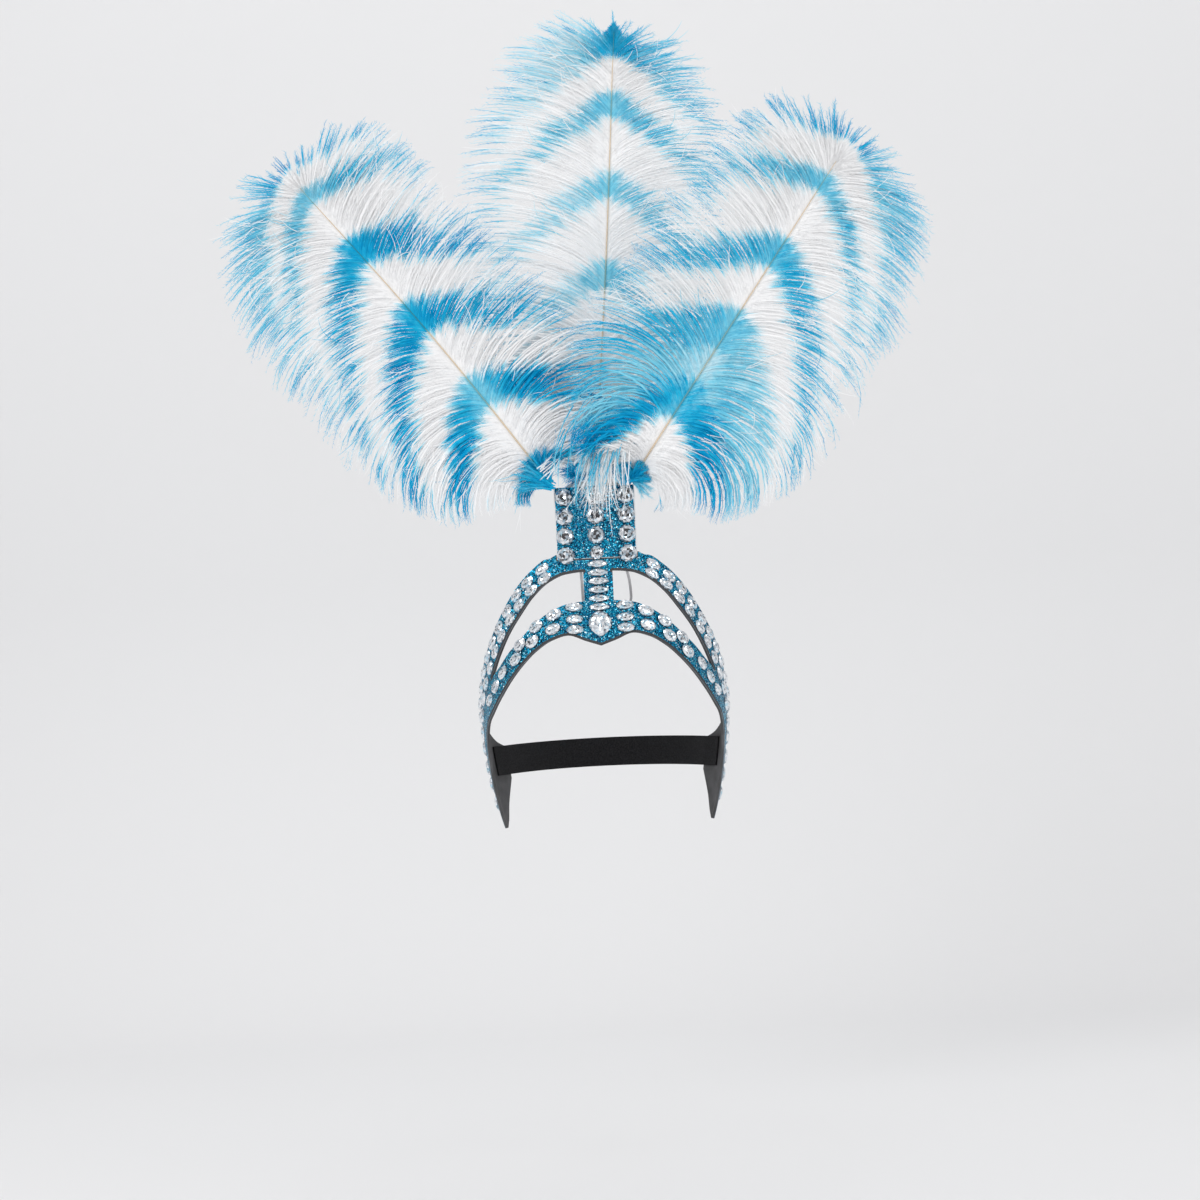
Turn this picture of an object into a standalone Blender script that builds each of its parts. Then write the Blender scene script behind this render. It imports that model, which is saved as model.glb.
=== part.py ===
"""Showgirl feather headdress: a foam crown with stones, a crest plate and three ostrich plumes.

The origin is the centre of the head opening at temple level. +Z is up, -Y is the front, +X is the
side that a viewer in front sees on the right. Lengths are metres. Angles run round the head in
degrees from the front centre, positive towards +X.
"""
from collections import namedtuple
from math import asin, atan2, cos, degrees, exp, hypot, pi, radians, sin

import bpy
from mathutils import Matrix, Vector

MM = 0.001

# Clearance between pieces that touch
GAP = 0.3 * MM

# Head opening, measured to the outer face of the foam
CROWN_HALF_WIDTH = 105 * MM
CROWN_FRONT_DEPTH = 104 * MM
CROWN_LEAN = 12 * MM
FLAP_DEPTH = 67 * MM
FLAP_TUCK = 6 * MM
FLAP_TAPER = 16 * MM
REAR_ANGLE = 114

# Foam crown
FOAM = 2.5 * MM
CROWN_RISE = 111 * MM
FLAP_DROP = 114 * MM
NOTCH_RISE = 4.5 * MM
NOTCH_STEP_ANGLE = 0.4
NOTCH_END_ANGLE = 23
STRAP_WIDTH = 24 * MM
WINDOW_END_ANGLE = 63.5

# Crest plate and the backing behind it
PLATE_WIDTH = 66 * MM
PLATE_HEIGHT = 59 * MM
BACKING_WIDTH = 0.85 * PLATE_WIDTH
BACKING_THICKNESS = 4 * MM
BACKING_HUMP = 6 * MM

# Wire that rests over the head
WIRE_RADIUS = 1.2 * MM
WIRE_LEFT = 14 * MM
WIRE_RIGHT = 24 * MM
WIRE_SPREAD = 5 * MM
WIRE_REACH = 76 * MM
WIRE_TOP_SHARE = 0.85
WIRE_LOW_SHARE = 0.10
WIRE_POINTS = 36
WIRE_CORNER = 5 * MM

# Elastic round the back of the head
ELASTIC_WIDTH = 25 * MM
ELASTIC_THICKNESS = 1.5 * MM
ELASTIC_LEVEL = 57 * MM
ELASTIC_DEPTH = 95 * MM
ELASTIC_GLUE_ANGLE = 99
ELASTIC_STEPS = 24

# Stones: length, width and height
ROUND_STONE = (14.8 * MM, 14.8 * MM, 4.2 * MM)
SMALL_ROUND_STONE = (11.6 * MM, 11.6 * MM, 3.6 * MM)
STRAP_STONE = (16.4 * MM, 6.5 * MM, 3.0 * MM)
BESIDE_STONE = (14.6 * MM, 7.8 * MM, 3.0 * MM)
PAIR_STONE = (14.2 * MM, 9.2 * MM, 3.2 * MM)
ROW_STONE = (14.0 * MM, 8.0 * MM, 3.0 * MM)
PEAR_STONE = (19.0 * MM, 20.5 * MM, 4.6 * MM)
ROUND_SIDES = 10
OVAL_SIDES = 8
ROW_SIDES = 6
PEAR_SIDES = 12
PEAR_POINT = 0.42
GIRDLE_SHARE = 0.35
TABLE_SHARE = 0.58
ROUND_SPACE = 1.2 * MM
ROUND_MARGIN = 0.6 * MM
BESIDE_SPACE = 1.5 * MM
ROW_PITCH = 16.2 * MM
STONE_SINK = 0.9 * MM

# Plumes
PLUME_LENGTH = 340 * MM
PLUME_HALF_WIDTH = 134 * MM
PLUME_LAYER = 26 * MM
QUILL_RADIUS = 1.8 * MM
QUILL_IN_PLATE = 40 * MM
QUILL_TIP_SHARE = 0.35
VANE_START = 14 * MM
VANE_THICKNESS = 1.6 * MM
LOCK_DEPTH = 3.0 * MM
LOCKS_A_SIDE = 14
LOCK_CROWDING = 1.35
LOCK_STEPS = 12
LOCK_THINNING = 0.4
TIP_CURL_POWER = 2.2
TIP_CURL = 28 * MM
EDGE_CURL = 8 * MM
LAYER_RUN = 45 * MM

# Crown edges by angle. Heights are shares of CROWN_RISE above the temples and of FLAP_DROP below.
Station = namedtuple("Station", "angle brow_edge window_foot window_head crown_edge")
STATIONS = [
    Station(0, 0.356, 0.690, 0.905, 1.000),
    Station(7, 0.395, 0.685, 0.904, 1.000),
    Station(15, 0.440, 0.669, 0.891, 1.000),
    Station(23, 0.407, 0.618, 0.840, 1.010),
    Station(31, 0.335, 0.536, 0.743, 0.937),
    Station(39, 0.234, 0.431, 0.607, 0.829),
    Station(47, 0.119, 0.329, 0.466, 0.694),
    Station(55, -0.004, 0.216, 0.302, 0.545),
    Station(63.5, -0.123, 0.126, 0.126, 0.387),
    Station(70, -0.202, 0.063, 0.063, 0.270),
    Station(76, -0.350, -0.044, -0.044, 0.135),
    Station(82, -0.630, -0.237, -0.237, 0.000),
    Station(87, -0.877, -0.386, -0.386, -0.105),
    Station(92, -1.000, -0.526, -0.526, -0.190),
    Station(98, -0.956, -0.579, -0.579, -0.280),
    Station(106, -0.800, -0.570, -0.570, -0.360),
    Station(114, -0.640, -0.520, -0.520, -0.400),
]

# Angles at which the crown has a column of points, besides the strap's and the notch's edges
CROWN_COLUMNS = [
    11, 15, NOTCH_END_ANGLE, 27, 31, 35, 39, 43, 47, 51, 55, 59, WINDOW_END_ANGLE, 66.5, 70, 73,
    76, 79, 82, 84.5, 87, 89.5, 92, 95, 98, 102, 106, 110, REAR_ANGLE,
]

# The wire's course over the head: shares of its reach to the back and of the crown's rise lost
WireStep = namedtuple("WireStep", "reach fall")
WIRE_LEG = [WireStep(0.09, 0.07), WireStep(0.29, 0.13), WireStep(0.53, 0.17), WireStep(0.81, 0.30)]
WIRE_BEND = [WireStep(0.93, 0.38), WireStep(1.00, 0.43)]

# Stones beside the strap and along the brow band, each mirrored on the other side
Place = namedtuple("Place", "angle height")
BESIDE_HEIGHTS = [0.645, 0.558, 0.482]
PAIR_PLACES = [
    Place(21.0, 0.595), Place(21.8, 0.492),
    Place(30.2, 0.515), Place(32.4, 0.405),
    Place(39.4, 0.385), Place(42.2, 0.280),
]
PEAR_HEIGHT = 0.515

# Lines that the small stones follow, each mirrored on the other side
BROW_LINE = [Place(52.0, 0.185), Place(62.0, 0.020), Place(71.0, -0.100)]
INNER_LINE = [
    Place(24.5, 0.875), Place(33, 0.775), Place(39, 0.685), Place(47, 0.545), Place(55, 0.392),
    Place(62, 0.243), Place(68, 0.108), Place(74, -0.030), Place(79, -0.165), Place(84, -0.320),
    Place(88, -0.480), Place(90.5, -0.640), Place(92, -0.810),
]
OUTER_LINE = [
    Place(22.5, 0.975), Place(31, 0.883), Place(39, 0.779), Place(47, 0.640), Place(55, 0.491),
    Place(63.5, 0.333), Place(70, 0.207), Place(76, 0.080), Place(82, -0.050), Place(88, -0.170),
    Place(94, -0.290), Place(99, -0.420), Place(101, -0.560), Place(101, -0.700),
]

# Plumes: foot as a share of half the plate's width, lean from upright in degrees, side bow and
# length as shares of PLUME_LENGTH, layer as a share of PLUME_LAYER, and for the -X and the +X side
# of the vane its share of PLUME_HALF_WIDTH and how full its foot is
Plume = namedtuple("Plume", "name foot lean bow length layer left_width right_width left_fill right_fill")
PLUMES = [
    Plume("plume_left", -1.0, -37.5, 0.012, 0.894, -0.23, 1.00, 0.79, 0.0, 0.0),
    Plume("plume_centre", 0.0, 5.3, 0.005, 1.000, 0.54, 1.00, 0.84, 0.0, 0.0),
    Plume("plume_right", 0.88, 35.5, 0.000, 0.882, -1.00, 0.88, 1.00, 0.0, 0.12),
]

# Locks of a vane by their root on the quill: length as a share of the half width, and the angle
# from the quill's own direction that the lock bends round to
Lock = namedtuple("Lock", "root length angle")
LOCKS = [
    Lock(0.00, 0.10, 112),
    Lock(0.07, 0.26, 122),
    Lock(0.20, 0.60, 127),
    Lock(0.36, 0.84, 127),
    Lock(0.56, 0.98, 127),
    Lock(0.76, 1.02, 126),
    Lock(0.86, 0.92, 108),
    Lock(0.92, 0.72, 82),
    Lock(0.97, 0.50, 50),
    Lock(1.00, 0.29, 16),
]
LOCK_START_ANGLE = 42
LOCK_BEND_SHARE = 0.10
LOCK_COLUMNS = [0.10, 0.28, 0.52, 0.78, 1.00]
RIDGE_REACH = 1.05
VALLEY_REACH = 0.88


def clear_scene():
    """Removes what the new file opens with."""
    for obj in list(bpy.data.objects):
        bpy.data.objects.remove(obj, do_unlink=True)


def make_material(name, colour, roughness, metallic=0.0):
    """A plain Principled material."""
    material = bpy.data.materials.new(name)
    material.use_nodes = True
    shader = material.node_tree.nodes["Principled BSDF"]
    shader.inputs["Base Color"].default_value = (*colour, 1.0)
    shader.inputs["Roughness"].default_value = roughness
    shader.inputs["Metallic"].default_value = metallic
    material.diffuse_color = (*colour, 1.0)
    return material


def add_mesh_object(name, vertices, faces, material):
    """One object from points and faces, its normals turned outwards."""
    mesh = bpy.data.meshes.new(name)
    mesh.from_pydata([tuple(v) for v in vertices], [], faces)
    mesh.materials.append(material)
    obj = bpy.data.objects.new(name, mesh)
    bpy.context.collection.objects.link(obj)
    return obj


def smooth_rounds(obj, angle=32):
    """Smooth shading with the cut edges kept sharp."""
    obj.data.shade_smooth()
    obj.data.set_sharp_from_angle(angle=radians(angle))


def ease(share):
    """A smooth step from 0 to 1."""
    share = min(max(share, 0.0), 1.0)
    return share * share * (3 - 2 * share)


def smooth_value(keys, values, position):
    """A smooth value between the entries of a list, with no overshoot."""
    if position <= keys[0]:
        return values[0]
    if position >= keys[-1]:
        return values[-1]
    index = max(i for i in range(len(keys) - 1) if keys[i] <= position)
    slopes = [(values[i + 1] - values[i]) / (keys[i + 1] - keys[i]) for i in range(len(keys) - 1)]

    def tangent(i):
        if i in (0, len(keys) - 1):
            return slopes[0] if i == 0 else slopes[-1]
        before, after = slopes[i - 1], slopes[i]
        return 0.0 if before * after <= 0 else 2 * before * after / (before + after)

    step = keys[index + 1] - keys[index]
    u = (position - keys[index]) / step
    start, end = values[index], values[index + 1]
    start_tangent, end_tangent = tangent(index) * step, tangent(index + 1) * step
    return (start * (1 + 2 * u) * (1 - u) ** 2 + start_tangent * u * (1 - u) ** 2
            + end * u * u * (3 - 2 * u) - end_tangent * u * u * (1 - u))


def read_column(rows, position, key, column):
    """A smooth value between the rows of a table."""
    return smooth_value([getattr(row, key) for row in rows],
                        [getattr(row, column) for row in rows], position)


def level(share):
    """A height from its share of the crown's rise, or of the flap's drop below the temples."""
    return share * (CROWN_RISE if share > 0 else FLAP_DROP)


def wrap_point(angle, height):
    """A point of the crown's outer face: an ellipse in plan that leans back and tapers down."""
    turn = radians(angle)
    away = max(abs(angle) - 90, 0)
    tuck = FLAP_TUCK * ease(away / (REAR_ANGLE - 90))
    taper = FLAP_TAPER * (min(height, 0) / FLAP_DROP) ** 2
    half_width = CROWN_HALF_WIDTH - taper - tuck
    if away:
        growth = sin(pi / 2 * max(abs(angle) - REAR_ANGLE, 0) / (180 - REAR_ANGLE))
        depth = FLAP_DEPTH + (ELASTIC_DEPTH - FLAP_DEPTH) * growth
    else:
        depth = CROWN_FRONT_DEPTH - CROWN_LEAN * min(max(height, 0) / CROWN_RISE, 1)
    return Vector((half_width * sin(turn), -depth * cos(turn), height))


def wrap_frame(angle, height):
    """The outward normal, the direction round the head and the direction up, at that point."""
    round_head = wrap_point(angle + 0.2, height) - wrap_point(angle - 0.2, height)
    up = wrap_point(angle, height + 0.2 * MM) - wrap_point(angle, height - 0.2 * MM)
    normal = round_head.cross(up).normalized()
    round_head.normalize()
    return normal, round_head, normal.cross(round_head)


def wrap_offset(angle, height, lift):
    """A point at a distance from the crown's outer face."""
    return wrap_point(angle, height) + wrap_frame(angle, height)[0] * lift


def angle_for(half_width):
    """The angle at which the front face is that far from the centre."""
    return degrees(asin(half_width / CROWN_HALF_WIDTH))


def depth_behind(x, lift):
    """The Y of a line that lies a distance behind the plate's outer face, at an X."""
    turn = asin(min(abs(x), PLATE_WIDTH / 2) / (CROWN_HALF_WIDTH - lift))
    return -(CROWN_FRONT_DEPTH - CROWN_LEAN - lift) * cos(turn)


def add_sheet(name, columns, cells, thickness, material):
    """A closed sheet: points in columns, cells that are filled, thickened inwards."""
    vertices = []
    index_of = {}
    for key, point in columns.items():
        index_of[key] = len(vertices)
        vertices.append(point)
    faces = []
    for corners in cells:
        ring = []
        for key in corners:
            if index_of[key] not in ring:
                ring.append(index_of[key])
        if len(ring) > 2:
            faces.append(ring)
    obj = add_mesh_object(name, vertices, faces, material)
    solid = obj.modifiers.new("thickness", "SOLIDIFY")
    solid.thickness = thickness
    solid.offset = -1
    solid.use_even_offset = True
    return obj


def crown_angles(strap_angle, notch_angle):
    """Column angles of the crown: an even run, with the strap, notch and window edges exact."""
    fixed = [0, strap_angle / 2, strap_angle, notch_angle, notch_angle + NOTCH_STEP_ANGLE]
    half = sorted(set(fixed + CROWN_COLUMNS))
    return [-a for a in reversed(half) if a] + half


def build_crown(material, stone_material):
    """Brow band, centre strap, arch and both flaps, cut from one foam sheet."""
    strap_angle = angle_for(STRAP_WIDTH / 2)
    notch_angle = angle_for(PLATE_WIDTH / 2 + GAP)
    angles = crown_angles(strap_angle, notch_angle)
    low_rows, window_rows, high_rows = 2, 2, 2
    points = {}
    for column, angle in enumerate(angles):
        side = abs(angle)
        foot = level(read_column(STATIONS, side, "angle", "brow_edge"))
        head = level(read_column(STATIONS, side, "angle", "window_foot"))
        arch = level(read_column(STATIONS, side, "angle", "window_head"))
        crest = level(read_column(STATIONS, side, "angle", "crown_edge"))
        if side > WINDOW_END_ANGLE - 0.01:
            arch = head
        if side <= notch_angle:
            crest = CROWN_RISE
        elif side < NOTCH_END_ANGLE:
            fall = (NOTCH_END_ANGLE - side) / (NOTCH_END_ANGLE - notch_angle)
            crest = max(CROWN_RISE + NOTCH_RISE * fall, crest)
        heights = [foot + (head - foot) * i / low_rows for i in range(low_rows + 1)]
        heights += [head + (arch - head) * i / window_rows for i in range(1, window_rows)]
        heights += [arch + (crest - arch) * i / high_rows for i in range(high_rows + 1)]
        for row, height in enumerate(heights):
            if arch == head and low_rows < row <= low_rows + window_rows:
                continue
            points[column, row] = wrap_point(angle, height)

    def key(column, row):
        return (column, row) if (column, row) in points else (column, low_rows)

    cells = []
    top = low_rows + window_rows + high_rows
    for column in range(len(angles) - 1):
        middle = abs(angles[column] + angles[column + 1]) / 2
        for row in range(top):
            in_window = low_rows <= row < low_rows + window_rows
            if in_window and middle > strap_angle:
                continue
            cells.append([key(column, row), key(column + 1, row),
                          key(column + 1, row + 1), key(column, row + 1)])
    crown = add_sheet("crown_frame", points, cells, FOAM, material)

    for name, line, start in (("brow_row", BROW_LINE, 0.0), ("inner_row", INNER_LINE, 0.0),
                              ("outer_row", OUTER_LINE, 0.45)):
        row = build_stone_row(name, line, start, stone_material)
        union = crown.modifiers.new(name, "BOOLEAN")
        union.operation = "UNION"
        union.solver = "EXACT"
        union.object = row
    return crown


def build_plate(material):
    """The upright crest plate that stands on the crown's top edge."""
    edge = angle_for(PLATE_WIDTH / 2)
    steps = 8
    rows = [CROWN_RISE + GAP, CROWN_RISE + PLATE_HEIGHT / 2, CROWN_RISE + PLATE_HEIGHT]
    points = {}
    for column in range(steps + 1):
        for row, height in enumerate(rows):
            points[column, row] = wrap_point(-edge + 2 * edge * column / steps, height)
    cells = [[(c, r), (c + 1, r), (c + 1, r + 1), (c, r + 1)]
             for c in range(steps) for r in range(len(rows) - 1)]
    return add_sheet("crest_plate", points, cells, FOAM, material)


def build_backing(material):
    """The white backing with two humps, behind the quills."""
    edge = angle_for(BACKING_WIDTH / 2)
    depth = FOAM + 2 * GAP + 2 * QUILL_RADIUS
    steps = 16
    points = {}
    for column in range(steps + 1):
        share = 2 * column / steps - 1
        hump = BACKING_HUMP * sin(pi * abs(share)) ** 2
        foot = CROWN_RISE + 2 * GAP
        top = CROWN_RISE + PLATE_HEIGHT - GAP + hump
        for row, height in enumerate((foot, (foot + top) / 2, top)):
            points[column, row] = wrap_offset(share * edge, height, -depth)
    cells = [[(c, r), (c + 1, r), (c + 1, r + 1), (c, r + 1)]
             for c in range(steps) for r in range(2)]
    return add_sheet("feather_backing", points, cells, BACKING_THICKNESS, material)


def build_elastic(material):
    """The elastic: glued inside both flaps and carried round the back of the head."""
    half_turn = 180 - ELASTIC_GLUE_ANGLE
    points = {}
    for column in range(ELASTIC_STEPS + 1):
        turn = ELASTIC_GLUE_ANGLE + 2 * half_turn * column / ELASTIC_STEPS
        angle = turn if turn <= 180 else turn - 360
        for row in range(3):
            height = -ELASTIC_LEVEL + ELASTIC_WIDTH * (row / 2 - 0.5)
            depth = FOAM + GAP
            if abs(angle) == 180:
                points[column, row] = Vector((0, ELASTIC_DEPTH - depth, height))
            else:
                points[column, row] = wrap_offset(angle, height, -depth)
    cells = [[(c, r), (c + 1, r), (c + 1, r + 1), (c, r + 1)]
             for c in range(ELASTIC_STEPS) for r in range(2)]
    return add_sheet("elastic_band", points, cells, ELASTIC_THICKNESS, material)


def smooth_path(points, count):
    """A smooth line through the points, read at even steps along it."""
    run = [0.0]
    for before, after in zip(points, points[1:]):
        run.append(run[-1] + (after - before).length)
    places = [run[-1] * i / (count - 1) for i in range(count)]
    return [Vector([smooth_value(run, [p[axis] for p in points], place) for axis in range(3)])
            for place in places]


def build_wire(material):
    """A hairpin of steel wire: two legs behind the backing, over the head to a round bend."""
    back = FOAM + 2 * GAP + 2 * QUILL_RADIUS + BACKING_THICKNESS + GAP + WIRE_RADIUS
    left, right = -WIRE_LEFT, WIRE_RIGHT
    middle, spread = (left + right) / 2, WIRE_SPREAD
    top = CROWN_RISE + WIRE_TOP_SHARE * PLATE_HEIGHT
    low = CROWN_RISE + WIRE_LOW_SHARE * PLATE_HEIGHT

    def step_point(x, step):
        start = depth_behind(x, back)
        return Vector((x, start + step.reach * (WIRE_REACH - start), CROWN_RISE * (1 - step.fall)))

    def leg(x, out):
        start = depth_behind(x, back)
        points = [Vector((x, start, top)), Vector((x, start, (top + low) / 2)),
                  Vector((x, start, low))]
        for index, step in enumerate(WIRE_LEG):
            points.append(step_point(x + out * index / len(WIRE_LEG), step))
        return points

    bend = [step_point(right + spread - WIRE_CORNER, WIRE_BEND[0]),
            step_point(middle + spread / 2, WIRE_BEND[1]),
            step_point(left + WIRE_CORNER, WIRE_BEND[0])]
    route = leg(right, spread) + bend + list(reversed(leg(left, 0)))
    path = smooth_path(route, WIRE_POINTS)
    curve = bpy.data.curves.new("support_wire", "CURVE")
    curve.dimensions = "3D"
    curve.bevel_depth = WIRE_RADIUS
    curve.bevel_resolution = 1
    curve.use_fill_caps = True
    spline = curve.splines.new("POLY")
    spline.points.add(len(path) - 1)
    for point, place in zip(spline.points, path):
        point.co = (*place, 1.0)
    curve.materials.append(material)
    obj = bpy.data.objects.new("support_wire", curve)
    bpy.context.collection.objects.link(obj)
    return obj


def oval_outline(size, sides, turn):
    """Points round an oval, the first one turned by a share of a step."""
    length, width, _ = size
    return [(length / 2 * cos(2 * pi * (i + turn) / sides), width / 2 * sin(2 * pi * (i + turn) / sides))
            for i in range(sides)]


def pear_outline(size, sides, turn):
    """Points round a drop that is full at the top and pointed at the foot."""
    width, length, _ = size
    outline = []
    for i in range(sides):
        angle = 2 * pi * (i + turn) / sides + pi / 2
        rise = sin(angle)
        narrow = 1.0 if rise > 0 else 1.0 - PEAR_POINT * rise * rise
        outline.append((width / 2 * cos(angle) * narrow, length / 2 * rise))
    return outline


def stone_solid(size, sides, outline):
    """Points and faces of a cut stone: flat base, girdle, slanting facets and a table."""
    height = size[2]
    girdle = outline(size, sides, 0)
    table = [(x * TABLE_SHARE, y * TABLE_SHARE) for x, y in outline(size, sides, 0.5)]
    vertices = [Vector((x, y, 0)) for x, y in girdle]
    vertices += [Vector((x, y, GIRDLE_SHARE * height)) for x, y in girdle]
    vertices += [Vector((x, y, height)) for x, y in table]
    faces = [list(reversed(range(sides))), [2 * sides + i for i in range(sides)]]
    for i in range(sides):
        after = (i + 1) % sides
        faces.append([i, after, sides + after, sides + i])
        faces.append([sides + i, sides + after, 2 * sides + i])
        faces.append([sides + after, 2 * sides + after, 2 * sides + i])
    return vertices, faces


def stone_matrix(angle, height, lift, tilt):
    """Places a stone's base on the crown's outer face, its length turned by the tilt."""
    normal, round_head, up = wrap_frame(angle, height)
    along = round_head * cos(tilt) + up * sin(tilt)
    across = normal.cross(along)
    place = wrap_point(angle, height) + normal * lift
    matrix = Matrix((along, across, normal)).transposed().to_4x4()
    matrix.translation = place
    return matrix


def add_stone(name, size, sides, angle, height, tilt, material, outline=oval_outline):
    """One stone as a piece of its own, a small gap above the foam, clear of the crown's lean."""
    vertices, faces = stone_solid(size, sides, outline)
    obj = add_mesh_object(name, vertices, faces, material)
    over_joint = size[1] / 2 - (height - CROWN_RISE) if height > CROWN_RISE else 0
    lift = GAP + max(over_joint, 0) * CROWN_LEAN / CROWN_RISE
    obj.matrix_world = stone_matrix(angle, height, lift, tilt)
    return obj


def band_tilt(angle, low, high):
    """The slope of the band's middle line at an angle, for a stone that lies along it."""
    def middle(at):
        return (level(read_column(STATIONS, at, "angle", low))
                + level(read_column(STATIONS, at, "angle", high))) / 2
    start = wrap_point(angle - 1, middle(angle - 1))
    end = wrap_point(angle + 1, middle(angle + 1))
    return atan2(end.z - start.z, hypot(end.x - start.x, end.y - start.y))


def small_round_height():
    """The height of the small round stone, which shares its upper gap with the one above."""
    third = CROWN_RISE + PLATE_HEIGHT - ROUND_MARGIN - 2 * (ROUND_STONE[0] + ROUND_SPACE)
    return third - ROUND_STONE[0] - ROUND_SPACE - SMALL_ROUND_STONE[0] / 2


def build_plate_stones(material):
    """Three columns of four round stones, the lowest over the joint with the crown."""
    margin = ROUND_STONE[0] / 2 + ROUND_MARGIN
    side_angle = angle_for(PLATE_WIDTH / 2 - margin)
    for row in range(4):
        height = CROWN_RISE + PLATE_HEIGHT - margin - row * (ROUND_STONE[0] + ROUND_SPACE)
        for column, angle in (("left", -side_angle), ("centre", 0), ("right", side_angle)):
            size = ROUND_STONE
            place = height
            if column == "centre" and row == 3:
                size = SMALL_ROUND_STONE
                place = small_round_height()
            add_stone(f"plate_stone_{column}_{row + 1}", size, ROUND_SIDES, angle, place, 0, material)


def build_strap_stones(material):
    """Flat ovals down the strap and the large drop where the strap meets the brow band."""
    pear = level(PEAR_HEIGHT)
    add_stone("drop_stone", PEAR_STONE, PEAR_SIDES, 0, pear, 0, material, pear_outline)
    foot = pear + PEAR_STONE[1] / 2
    room = small_round_height() - SMALL_ROUND_STONE[0] / 2 - foot
    count = int(room / (STRAP_STONE[1] + GAP))
    for i in range(count):
        add_stone(f"strap_stone_{i + 1}", STRAP_STONE, OVAL_SIDES, 0,
                  foot + room * (i + 0.5) / count, 0, material)


def build_brow_stones(material):
    """Ovals beside the strap and in pairs along the brow band, on both sides."""
    for side, sign in (("left", -1), ("right", 1)):
        beside = angle_for(STRAP_WIDTH / 2 + BESIDE_SPACE + BESIDE_STONE[0] / 2)
        for i, height in enumerate(BESIDE_HEIGHTS):
            add_stone(f"beside_stone_{side}_{i + 1}", BESIDE_STONE, OVAL_SIDES,
                      sign * beside, level(height), 0, material)
        for i, place in enumerate(PAIR_PLACES):
            tilt = band_tilt(place.angle, "brow_edge", "window_foot")
            add_stone(f"brow_stone_{side}_{i + 1}", PAIR_STONE, OVAL_SIDES,
                      sign * place.angle, level(place.height), sign * tilt, material)


def build_stone_row(name, line, start, material):
    """A row of small ovals along a line on both sides, sunk into the foam to be fused with it."""
    steps = 160
    first, last = line[0].angle, line[-1].angle
    samples = []
    for step in range(steps + 1):
        share = step / steps * (len(line) - 1)
        index = min(int(share), len(line) - 2)
        u = share - index
        angle = line[index].angle * (1 - u) + line[index + 1].angle * u
        height = level(line[index].height) * (1 - u) + level(line[index + 1].height) * u
        samples.append((angle, height, wrap_point(angle, height)))
    vertices, faces = [], []
    shape, shape_faces = stone_solid(ROW_STONE, ROW_SIDES, oval_outline)
    travelled, due = 0.0, start * ROW_PITCH
    for before, after in zip(samples, samples[1:]):
        travelled += (after[2] - before[2]).length
        if travelled < due:
            continue
        due += ROW_PITCH
        _, round_head, up = wrap_frame(after[0], after[1])
        course = after[2] - before[2]
        tilt = atan2(course.dot(up), course.dot(round_head))
        for sign in (-1, 1):
            matrix = stone_matrix(sign * after[0], after[1], -STONE_SINK, sign * tilt)
            offset = len(vertices)
            vertices += [matrix @ v for v in shape]
            faces += [[offset + i for i in face] for face in shape_faces]
    obj = add_mesh_object(name, vertices, faces, material)
    obj.hide_render = True
    obj.display_type = "WIRE"
    return obj


def full_size(plume):
    """A plume's row of the table with its shares turned into lengths."""
    return plume._replace(bow=plume.bow * PLUME_LENGTH, length=plume.length * PLUME_LENGTH,
                          layer=plume.layer * PLUME_LAYER,
                          left_width=plume.left_width * PLUME_HALF_WIDTH,
                          right_width=plume.right_width * PLUME_HALF_WIDTH)


def plume_root(plume, run):
    """The middle of the quill at a distance above the plate's top edge, or below it."""
    share = run / plume.length
    lean = radians(plume.lean)
    bow = plume.bow * sin(pi * min(max(share, 0), 1))
    x = plume.foot * PLATE_WIDTH / 2 + run * sin(lean) + bow * cos(lean)
    z = CROWN_RISE + PLATE_HEIGHT + run * cos(lean) - bow * sin(lean)
    seat = FOAM + GAP + QUILL_RADIUS
    parting = ease(run / LAYER_RUN)
    y = depth_behind(x, seat) * (1 - parting) + (depth_behind(0, seat) + plume.layer) * parting
    y -= TIP_CURL * max(share, 0) ** TIP_CURL_POWER
    return Vector((x, y, z))


def lock_point(plume, share, side, reach, column):
    """A point of a lock: it leaves the quill forwards and bends round to its own angle."""
    width = plume.left_width if side < 0 else plume.right_width
    fill = plume.left_fill if side < 0 else plume.right_fill
    length = read_column(LOCKS, fill + share * (1 - fill), "root", "length") * width * reach
    final = read_column(LOCKS, share, "root", "angle")
    root = plume_root(plume, VANE_START + share * (plume.length - VANE_START))
    forward, across = 0.0, 0.0
    start = min(LOCK_START_ANGLE, final)
    for step in range(LOCK_STEPS):
        u = (step + 0.5) / LOCK_STEPS * column
        bend = 1 - exp(-u / LOCK_BEND_SHARE)
        angle = radians(start + (final - start) * bend)
        forward += cos(angle) * length * column / LOCK_STEPS
        across += sin(angle) * length * column / LOCK_STEPS
    lean = radians(plume.lean)
    x = root.x + forward * sin(lean) + side * across * cos(lean)
    z = root.z + forward * cos(lean) - side * across * sin(lean)
    y = root.y - EDGE_CURL * (across / width) ** 2
    return Vector((x, y, z))


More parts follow.
